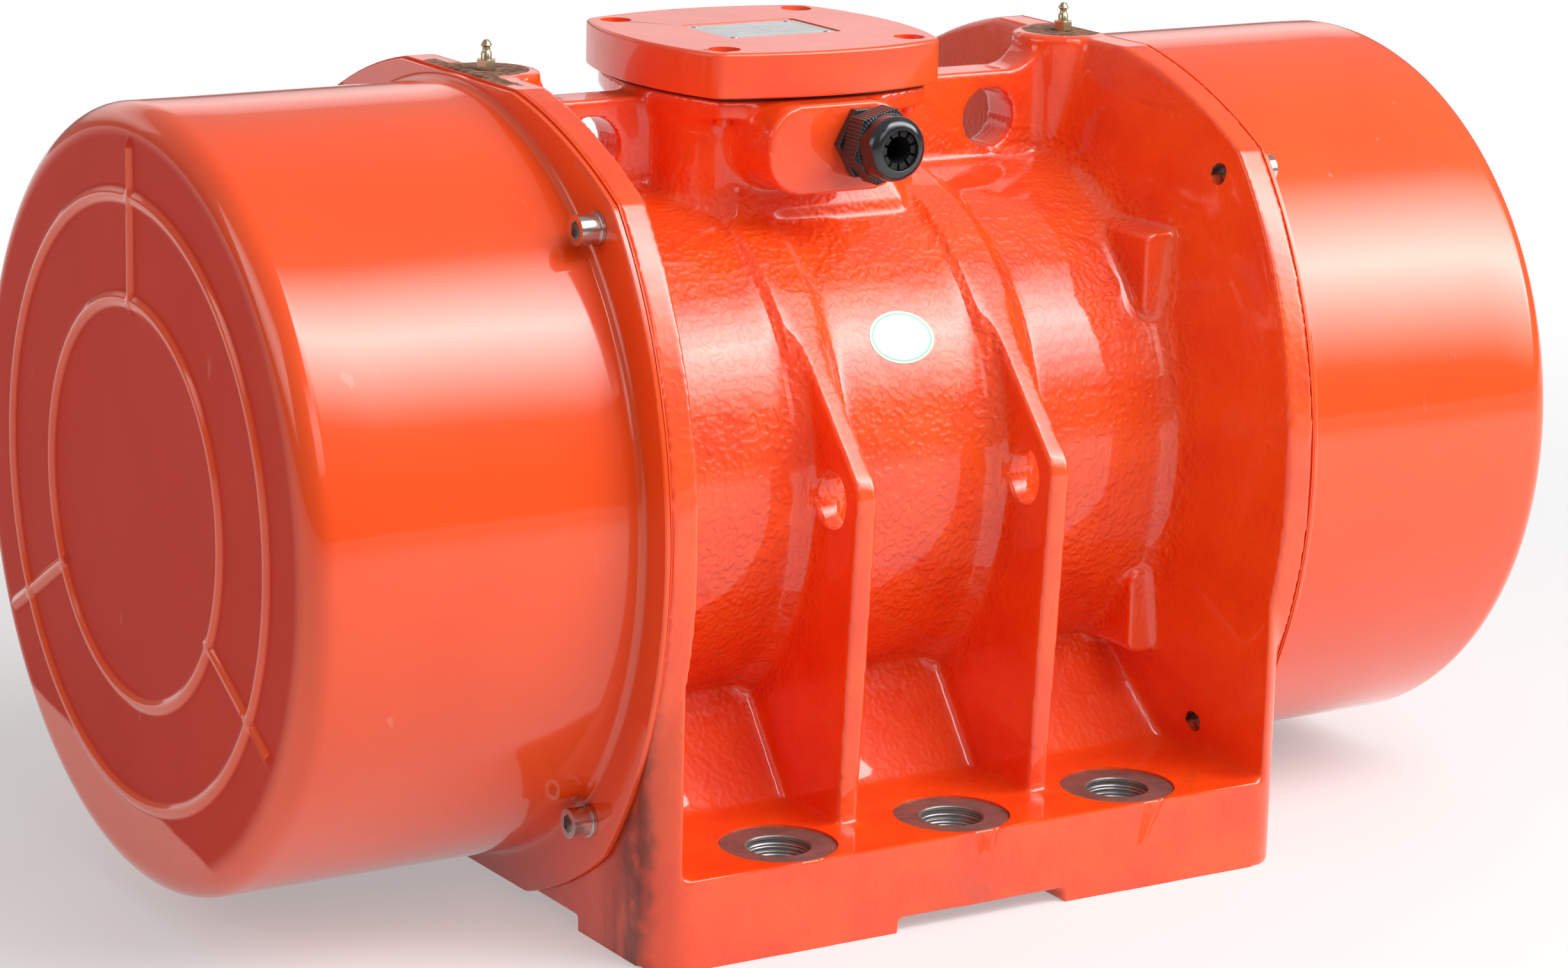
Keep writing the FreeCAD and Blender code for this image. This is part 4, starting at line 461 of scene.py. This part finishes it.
def cover_paint():
    sheet = Sheet("cover_paint", Coat_Roughness=0.07, Coat_IOR=1.6, Specular_IOR_Level=0.16)
    x, y, z = (sheet.axis(name) for name in "XYZ")
    up = z - AXIS_Z
    across = (y * y + up * up) ** 0.5
    drift = sheet.noise(9, 2)
    tone = sheet.mix(drift.rise(0.3, 0.8), RED, (0.87, 0.066, 0.004))
    # painted shade: the end face's flats, off its rings, spokes and the foot of its outer band, are darker and
    # duller
    off_bead = abs(abs(across - (BEADS[0] + BEADS[1]) / 2) - (BEADS[1] - BEADS[0]) / 2)
    for spoke in SPOKES:
        run = y * math.cos(spoke) + up * math.sin(spoke)
        aside = abs(y * math.sin(spoke) - up * math.cos(spoke))
        aside = aside + run.rise(SPOKE_FROM, SPOKE_FROM - 0.006) + run.rise(SPOKE_TO, SPOKE_TO + 0.006)
        off_bead = sheet.node("ShaderNodeMath", {"operation": "MINIMUM"}, {0: off_bead, 1: aside})
    shaded_dull_flats = abs(x).rise(COVER_END - 0.004, COVER_END - 0.0015) * off_bead.rise(BEAD_HALF * 0.55, BEAD_HALF * 1.0)
    shaded_dull_flats = shaded_dull_flats * across.rise(COVER_R - CORNER_R + 0.009, COVER_R - CORNER_R - 0.004)
    low_band = (up - 0.16 * y + 0.004 * sheet.noise(40, 3)).rise(-0.176, -0.180) * across.rise(0.1880, 0.1905)
    shaded_dull_flats = shaded_dull_flats * (1 - low_band)
    tone = sheet.mix(shaded_dull_flats, tone, sheet.mix(sheet.noise(18, 3), (0.66, 0.032, 0.008), (0.58, 0.026, 0.006)))
    scuff = sheet.noise(70, 4, (1, 1, 0.4)).rise(0.69, 0.76) * sheet.noise(12).rise(0.45, 0.6)
    sheet.colour(sheet.mix(scuff * 0.35, tone, (0.90, 0.30, 0.20)))
    sheet.feed("Roughness", 0.30 + 0.08 * drift + 0.2 * scuff + 0.2 * shaded_dull_flats)
    sheet.feed("Coat Weight", 1 - 0.94 * shaded_dull_flats)
    sheet.bump(sheet.noise(14, 1) + 0.10 * sheet.noise(240, 2), 0.0005)
    return sheet.material


def bow(start, end, sag):
    """Points on an arc from start to end that stands sag outside their chord, seen from the drum's axis."""
    start, end = np.array(start), np.array(end)
    half = np.hypot(*(end - start)) / 2
    radius = (half * half + sag * sag) / (2 * sag)
    along = (end - start) / (2 * half)
    out = np.array((along[1], -along[0]))
    out = out if out @ (start + end) > 0 else -out
    centre = (start + end) / 2 - out * (radius - sag)
    swing = np.linspace(-1, 1, 60) * math.asin(half / radius)
    return centre + radius * (np.outer(np.cos(swing), out) + np.outer(np.sin(swing), along))


outline = np.concatenate([
    bow((CORNER, -CORNER), (CORNER, CORNER), SIDE - CORNER),
    bow((CORNER, CORNER), (TOP_HALF, TOP), TOP_SWELL), bow((TOP_HALF, TOP), (-TOP_HALF, TOP), 1e-5),
    bow((-TOP_HALF, TOP), (-CORNER, CORNER), TOP_SWELL),
    bow((-CORNER, CORNER), (-CORNER, -CORNER), SIDE - CORNER),
    bow((-CORNER, -CORNER), (CORNER, -CORNER), SIDE - CORNER)])
outline_turn = np.arctan2(outline[:, 1], outline[:, 0]) % math.tau
outline_order = np.argsort(outline_turn)


def lip_reach(turn):
    """How far the lip reaches from the drum's axis at an angle from +Y towards up."""
    reach = np.interp(turn % math.tau, outline_turn[outline_order], np.hypot(*outline[outline_order].T),
                      period=math.tau)
    down = -math.sin(turn)
    return max(min(reach, FOOT_CUT / down) if down > 0.2 else reach, COVER_R + FLARE_R + 0.0006)


def pressed(radius, turn):
    """How far the end face stands out of its plane: ring beads, spokes and a faint dish."""
    def swell(off):
        return BEAD_RISE * max(0.0, 1 - (off / BEAD_HALF) ** 2) ** 1.5
    rise = max(swell(radius - bead) for bead in BEADS)
    for spoke in SPOKES:
        run, off = radius * math.cos(turn - spoke), radius * math.sin(turn - spoke)
        past = max(SPOKE_FROM - run, run - SPOKE_TO, 0.0)
        if run > 0:
            rise = max(rise, swell(math.hypot(off * 1.1, past)))
    dish = 0.0012 * (1 - min(radius / BEADS[0], 1.0) ** 4)
    return rise - dish


def arc(x, r, radius, start, stop, steps):
    return [(x + radius * math.cos(math.radians(start + (stop - start) * i / steps)),
             r + radius * math.sin(math.radians(start + (stop - start) * i / steps))) for i in range(steps + 1)]


NOMINAL_LIP = 0.30
face_r, inner_r = COVER_R - CORNER_R, COVER_R - SHEET_T
profile = [(COVER_END, face_r * i / 96) for i in range(96)]
profile += arc(COVER_END - CORNER_R, face_r, CORNER_R, 0, 90, 9)
profile += [(COVER_END - CORNER_R - step, COVER_R) for step in (0.03, 0.08, 0.13, 0.17)]
profile += arc(LIP_X + SHEET_T + FLARE_R, COVER_R + FLARE_R, FLARE_R, 270, 180, 6)
profile += [(LIP_X + SHEET_T, NOMINAL_LIP - 0.03), (LIP_X + SHEET_T, NOMINAL_LIP - 0.0022),
            (LIP_X + SHEET_T - 0.0006, NOMINAL_LIP - 0.0004), (LIP_X + SHEET_T - 0.0016, NOMINAL_LIP),
            (LIP_X + 0.0004, NOMINAL_LIP), (LIP_X, NOMINAL_LIP - 0.002), (LIP_X, inner_r)]
profile += [(COVER_END - CORNER_R - step, inner_r) for step in (0.13, 0.06)]
profile += arc(COVER_END - CORNER_R, face_r, CORNER_R - SHEET_T, 90, 0, 6)[:-1]
profile += [(COVER_END - SHEET_T, r) for r in (face_r, 0.18, 0.12, 0.06, 0.0)]


def cover_drum(end):
    """The drum of one end: the section is spun, then the lip is drawn out and the face is pressed."""
    shape = bmesh.new()
    points = [shape.verts.new((x, r, AXIS_Z)) for x, r in profile]
    lines = [shape.edges.new(pair) for pair in zip(points, points[1:])]
    bmesh.ops.spin(shape, geom=points + lines, cent=(0, 0, AXIS_Z), axis=(1, 0, 0), angle=math.tau,
                   steps=480, use_merge=True)
    bmesh.ops.remove_doubles(shape, verts=shape.verts, dist=1e-6)
    for point in shape.verts:
        up = point.co.z - AXIS_Z
        radius, turn = math.hypot(point.co.y, up), math.atan2(up, point.co.y)
        if radius > COVER_R + FLARE_R + 1e-5:
            root = COVER_R + FLARE_R
            reach = root + (radius - root) / (NOMINAL_LIP - root) * (lip_reach(turn) - root)
            point.co.y, point.co.z = reach * math.cos(turn), AXIS_Z + reach * math.sin(turn)
        elif point.co.x > COVER_END - 1e-5 and radius < face_r + 1e-5:
            point.co.x += pressed(radius, turn)
    bmesh.ops.scale(shape, vec=(end, 1, 1), verts=shape.verts)
    bmesh.ops.recalc_face_normals(shape, faces=shape.faces)
    return shape


gloss_red = cover_paint()
for side, end in (("left", -1), ("right", 1)):
    fitted("cover_drum_" + side, cover_drum(end), "stator", gloss_red,
           ["end_cover_" + side], smooth=40)


# ---- Cover joints --------------------------------------------------------------------------------
# A gasket, sprayed over at its edge, lies between lip and flange. Four stainless socket screws with
# split washers hold each lip at its corners.
def plain_finish(name, tone, other, roughness, metallic=0.0, grain=120, depth=0.0001, stretch=(1, 1, 1)):
    """A finish of two close tones that drift into each other, with a fine grain."""
    sheet = Sheet(name, Metallic=metallic)
    drift = sheet.noise(grain * 0.3, 3, stretch)
    sheet.colour(sheet.mix(drift.rise(0.3, 0.7), tone, other))
    sheet.feed("Roughness", roughness + 0.12 * (drift - 0.5))
    sheet.bump(sheet.noise(grain, 2, stretch), depth)
    return sheet.material


def refined(name, nodes, body, finish, width, segments=3, joined=True):
    """A crisp machined piece: its flats are joined and its edges broken by a small round bevel."""
    shape = merged(*nodes)
    if joined:
        bmesh.ops.dissolve_limit(shape, angle_limit=math.radians(1), verts=shape.verts, edges=shape.edges)
    part = fitted(name, shape, body, finish, nodes)
    edge = part.modifiers.new("edge", "BEVEL")
    edge.use_clamp_overlap = joined
    edge.width, edge.segments, edge.profile = width, segments, 0.5
    edge.limit_method, edge.angle_limit = "ANGLE", math.radians(35)
    edge.harden_normals = True
    return part


rubber = plain_finish("gasket_rubber", (0.018, 0.016, 0.015), (0.035, 0.030, 0.027), 0.6, grain=300)
stainless = plain_finish("stainless_steel", (0.66, 0.64, 0.62), (0.56, 0.54, 0.52), 0.20, 1.0, grain=400,
                         depth=0.00004)
sealed_edge = plain_finish("painted_gasket", RED, (0.80, 0.055, 0.006), 0.45, grain=60)
for side in ("left", "right"):
    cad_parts["cover_gasket_" + side].data.materials.clear()
    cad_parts["cover_gasket_" + side].data.materials.append(sealed_edge)
    refined("cover_screw_set_" + side, ["cover_screws_" + side], "stator", stainless, 0.0007)
    refined("cover_washer_set_" + side, ["cover_washers_" + side], "stator", stainless, 0.0003)


# ---- Terminal box lid ----------------------------------------------------------------------------
# A cast aluminium lid on a thin gasket, sprayed like the rest, held by four sunk screws. A window
# in its top takes the rating plate.
def lid_paint():
    sheet = Sheet("lid_paint", Coat_Weight=0.7, Coat_Roughness=0.09, Coat_IOR=1.55)
    drift = sheet.noise(22, 3)
    sheet.colour(sheet.mix(drift.rise(0.3, 0.8), RED, DEEP_RED))
    sheet.feed("Roughness", 0.33 + 0.12 * drift)
    sheet.bump(sheet.noise(55, 1) + 0.35 * sheet.noise(170, 2), 0.0004)
    return sheet.material


lid_enamel = lid_paint()
lid = merged("terminal_lid")
bmesh.ops.dissolve_limit(lid, angle_limit=math.radians(1), verts=lid.verts, edges=lid.edges)
lid_low, lid_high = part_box("terminal_lid")
lid_middle = (lid_low + lid_high) / 2


def outer_edges(shape, chosen):
    """The edges of the lid's outline that a test on their two end heights and their angle picks."""
    found = []
    for edge in shape.edges:
        ends = [point.co - lid_middle for point in edge.verts]
        if all(max(abs(end.x), abs(end.y)) > 0.0795 for end in ends):
            if chosen(*(point.co.z for point in edge.verts), edge.calc_face_angle(0.0)):
                found.append(edge)
    return found


for chosen, width, steps in (
        (lambda a, b, turn: abs(a - b) > 0.01 and turn > 0.5, 0.005, 5),
        (lambda a, b, turn: min(a, b) > lid_high.z - 1e-5, 0.0024, 4),
        (lambda a, b, turn: max(a, b) < lid_low.z + 1e-5, 0.0012, 2)):
    bmesh.ops.bevel(lid, geom=outer_edges(lid, chosen), offset=width, segments=steps, profile=0.5,
                    affect="EDGES", clamp_overlap=True, material=-1)
lid_part = fitted("terminal_box_lid", lid, "stator", lid_enamel, ["terminal_lid"], smooth=40)
lid_part.modifiers.new("flats", "WEIGHTED_NORMAL").keep_sharp = True
refined("terminal_lid_screws", ["lid_screws"], "stator", lid_enamel, 0.0005)
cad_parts["lid_gasket"].data.materials.clear()
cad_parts["lid_gasket"].data.materials.append(rubber)


# ---- Rating plate --------------------------------------------------------------------------------
# A bare aluminium plate with ruled empty fields, held in the lid's window by four small rivets.
def ruled_plate():
    sheet = Sheet("ruled_aluminium", Metallic=0.65)
    low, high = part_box("nameplate")
    middle = (low + high) / 2
    half_x, half_y = (high.x - low.x) / 2, (high.y - low.y) / 2
    x, y = sheet.axis("X") - middle.x, sheet.axis("Y") - middle.y
    frame_x, frame_y = half_x - 0.0045, half_y - 0.0045

    def line(off, half=0.00022):
        return abs(off).rise(half * 1.6, half * 0.6)

    inside = abs(x).rise(frame_x + 0.0003, frame_x) * abs(y).rise(frame_y + 0.0003, frame_y)
    rules = line(abs(x) - frame_x) + line(abs(y) - frame_y)
    for off in (-0.012, -0.004, 0.004, 0.012):
        rules = rules + line(y - off)
    rules = rules + line(x) * (abs(y).rise(0.0122, 0.0119))
    rules = (rules * inside).rise(0.2, 0.8)
    brushed = sheet.noise(60, 3, (1, 14, 1))
    tone = sheet.mix(brushed.rise(0.3, 0.7), (0.80, 0.80, 0.81), (0.66, 0.66, 0.67))
    sheet.colour(sheet.mix(rules * 0.75, tone, (0.10, 0.10, 0.11)))
    sheet.feed("Roughness", 0.30 + 0.15 * brushed)
    sheet.bump(brushed * 0.3 - rules, 0.00012)
    return sheet.material


bare_aluminium = plain_finish("bare_aluminium", (0.70, 0.70, 0.70), (0.58, 0.58, 0.58), 0.32, 1.0, grain=300,
                              depth=0.00003)
refined("rating_plate", ["nameplate"], "stator", ruled_plate(), 0.0002, segments=2)
refined("rating_plate_rivets", ["nameplate_rivets"], "stator", bare_aluminium, 0.0003, segments=2)


# ---- Cable gland ---------------------------------------------------------------------------------
# A black nylon gland screwed into the boss: a hexagon, a ribbed hexagonal cap that runs out to a
# polished dome, and the seal's fingers inside its open mouth. No cable is fitted.
def nylon():
    sheet = Sheet("black_nylon", Specular_IOR_Level=0.8)
    low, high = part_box("gland_dome_nut")
    middle = (low + high) / 2
    x, y, z = sheet.axis("X") - middle.x, sheet.axis("Y"), sheet.axis("Z") - middle.z
    turn = sheet.node("ShaderNodeMath", {"operation": "ARCTAN2"}, {0: z, 1: x})
    ribs = sheet.node("ShaderNodeMath", {"operation": "SINE"}, {0: turn * 60}) * 0.5 + 0.5
    reach = (x * x + z * z) ** 0.5
    grip = y.rise(-0.1330, -0.1318) * y.rise(-0.1155, -0.1175) * reach.rise(0.0165, 0.0175)
    haze = sheet.noise(90, 3)
    sheet.colour(sheet.mix(haze.rise(0.3, 0.8), (0.010, 0.011, 0.014), (0.020, 0.021, 0.026)))
    sheet.feed("Roughness", 0.11 + 0.08 * haze + 0.22 * grip)
    sheet.bump(ribs * grip + 0.05 * sheet.noise(500, 2), 0.0006)
    return sheet.material


black_nylon = nylon()
# painted shade: the seal's rubber fingers are painted near black, darker than rubber, for the shade inside the
# gland's mouth
shaded_seal_rubber = plain_finish("shaded_seal_rubber", (0.002, 0.002, 0.002), (0.004, 0.004, 0.004), 0.7, grain=400)
refined("gland_hexagon", ["gland_body"], "stator", black_nylon, 0.0007)
refined("gland_cap", ["gland_dome_nut"], "stator", black_nylon, 0.0005, joined=False)
refined("gland_fingers", ["gland_seal"], "stator", shaded_seal_rubber, 0.0002, segments=2,
        joined=False)


# ---- Grease nipples ------------------------------------------------------------------------------
# Yellow-passivated steel nipples with a hexagon, a waist and a ball mouth, one over each bearing.
passivated = plain_finish("yellow_passivate", (0.62, 0.48, 0.26), (0.50, 0.42, 0.30), 0.26, 1.0, grain=350,
                          depth=0.00004)
for side in ("left", "right"):
    refined("bearing_nipple_" + side, ["grease_nipple_" + side], "stator", passivated, 0.0003,
            segments=2)


# ---- Inspection label ----------------------------------------------------------------------------
# A small oval paper label with a thin green rim and nothing on it, stuck to the barrel's front.
def label_paper():
    sheet = Sheet("oval_label_paper", Coat_Weight=0.5, Coat_Roughness=0.15)
    low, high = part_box("oval_label")
    x = (sheet.axis("X") - (low.x + high.x) / 2) / ((high.x - low.x) / 2)
    up = (sheet.axis("Z") - (low.z + high.z) / 2) / ((high.z - low.z) / 2)
    reach = (x * x + up * up) ** 0.5
    rim = abs(reach - 0.90).rise(0.050, 0.030)
    sheet.colour(sheet.mix(rim * 0.8, (0.80, 0.83, 0.81), (0.08, 0.40, 0.22)))
    sheet.feed("Roughness", 0.45 + 0.1 * sheet.noise(200))
    sheet.bump(sheet.noise(150, 2), 0.0001)
    return sheet.material


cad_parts["oval_label"].data.materials.clear()
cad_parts["oval_label"].data.materials.append(label_paper())


# ---- Inside the motor ----------------------------------------------------------------------------
# The wound stator, the rotor, its bearings and the pairs of out-of-balance weights on the shaft
# ends, and the terminal board under the lid. They keep their CAD shapes under finishes of their own.
def laminated():
    sheet = Sheet("laminated_steel", Metallic=0.85)
    plates = sheet.node("ShaderNodeMath", {"operation": "SINE"}, {0: sheet.axis("X") * 6283})
    sheet.colour(sheet.mix(plates.rise(-0.2, 0.6), (0.16, 0.16, 0.17), (0.27, 0.27, 0.28)))
    sheet.feed("Roughness", 0.42 + 0.1 * sheet.noise(80))
    sheet.bump(plates * 0.5 + 0.5, 0.0001)
    return sheet.material


steel = plain_finish("ground_steel", (0.50, 0.50, 0.50), (0.42, 0.42, 0.42), 0.26, 1.0, 160, 0.00004, (9, 1, 1))
black_steel = plain_finish("black_steel", (0.035, 0.035, 0.038), (0.060, 0.058, 0.058), 0.42, 0.7, 200)
cast_iron = plain_finish("grey_cast_iron", (0.11, 0.11, 0.115), (0.17, 0.165, 0.16), 0.55, 0.6, 220, 0.0003)
copper = plain_finish("varnished_copper", (0.50, 0.16, 0.06), (0.38, 0.11, 0.04), 0.34, 0.8, 500, 0.0003,
                      (1, 6, 6))
brass = plain_finish("turned_brass", (0.72, 0.50, 0.20), (0.62, 0.42, 0.17), 0.24, 1.0, 250, 0.00004)
resin = plain_finish("moulded_resin", (0.050, 0.022, 0.014), (0.075, 0.034, 0.020), 0.38, grain=200)
laminations = laminated()

inside = {
    laminations: ["stator_core", "rotor_core"],
    copper: ["stator_windings"],
    bare_aluminium: ["rotor_end_rings"],
    steel: ["shaft", "shaft_nuts", "shaft_washers", "labyrinth_ring_", "bearing_outer_ring_",
            "bearing_inner_ring_", "bearing_rollers_"],
    black_steel: ["bearing_housing_bolts", "bearing_cap_screws", "fixed_weight_bolts", "weight_keys",
                  "adjustable_weight_bolt_"],
    cast_iron: ["bearing_housing_", "bearing_cap_", "fixed_weight_", "adjustable_weight_"],
    brass: ["bearing_cage_", "terminal_studs", "earth_screw"],
    resin: ["terminal_board"],
}
for finish, nodes in inside.items():
    for stem in nodes:
        for name in ([stem + side for side in ("left", "right")] if stem.endswith("_") else [stem]):
            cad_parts[name].data.materials.clear()
            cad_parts[name].data.materials.append(finish)


# ---- Floor finish --------------------------------------------------------------------------------
# Matt pale grey paper under the motor. It keeps a thinned shadow and runs out to plain white.
paper = Sheet("floor_paper", Roughness=0.8)
paper.shader.inputs["Base Color"].default_value = (0.74, 0.74, 0.74, 1)
far_off = (paper.axis("X") * 0.52 + paper.axis("Y") * 0.85).rise(0.5, 1.7)
seen = [paper.node("ShaderNodeLightPath", {}, {}, "Is %s Ray" % kind)
        for kind in ("Camera", "Glossy", "Transmission")]
white = paper.node("ShaderNodeEmission", {}, {"Color": (1, 1, 1, 1), "Strength": 1.0})
seen_far = (seen[0] + seen[1] + seen[2]).rise(0.2, 0.8) * (0.38 + 0.62 * far_off)
blend = paper.node("ShaderNodeMixShader", {}, {0: seen_far, 1: Shade(paper, paper.shader.outputs[0]), 2: white})
paper.tree.links.new(blend.socket, paper.tree.nodes["Material Output"].inputs["Surface"])
floor.data.materials.append(paper.material)
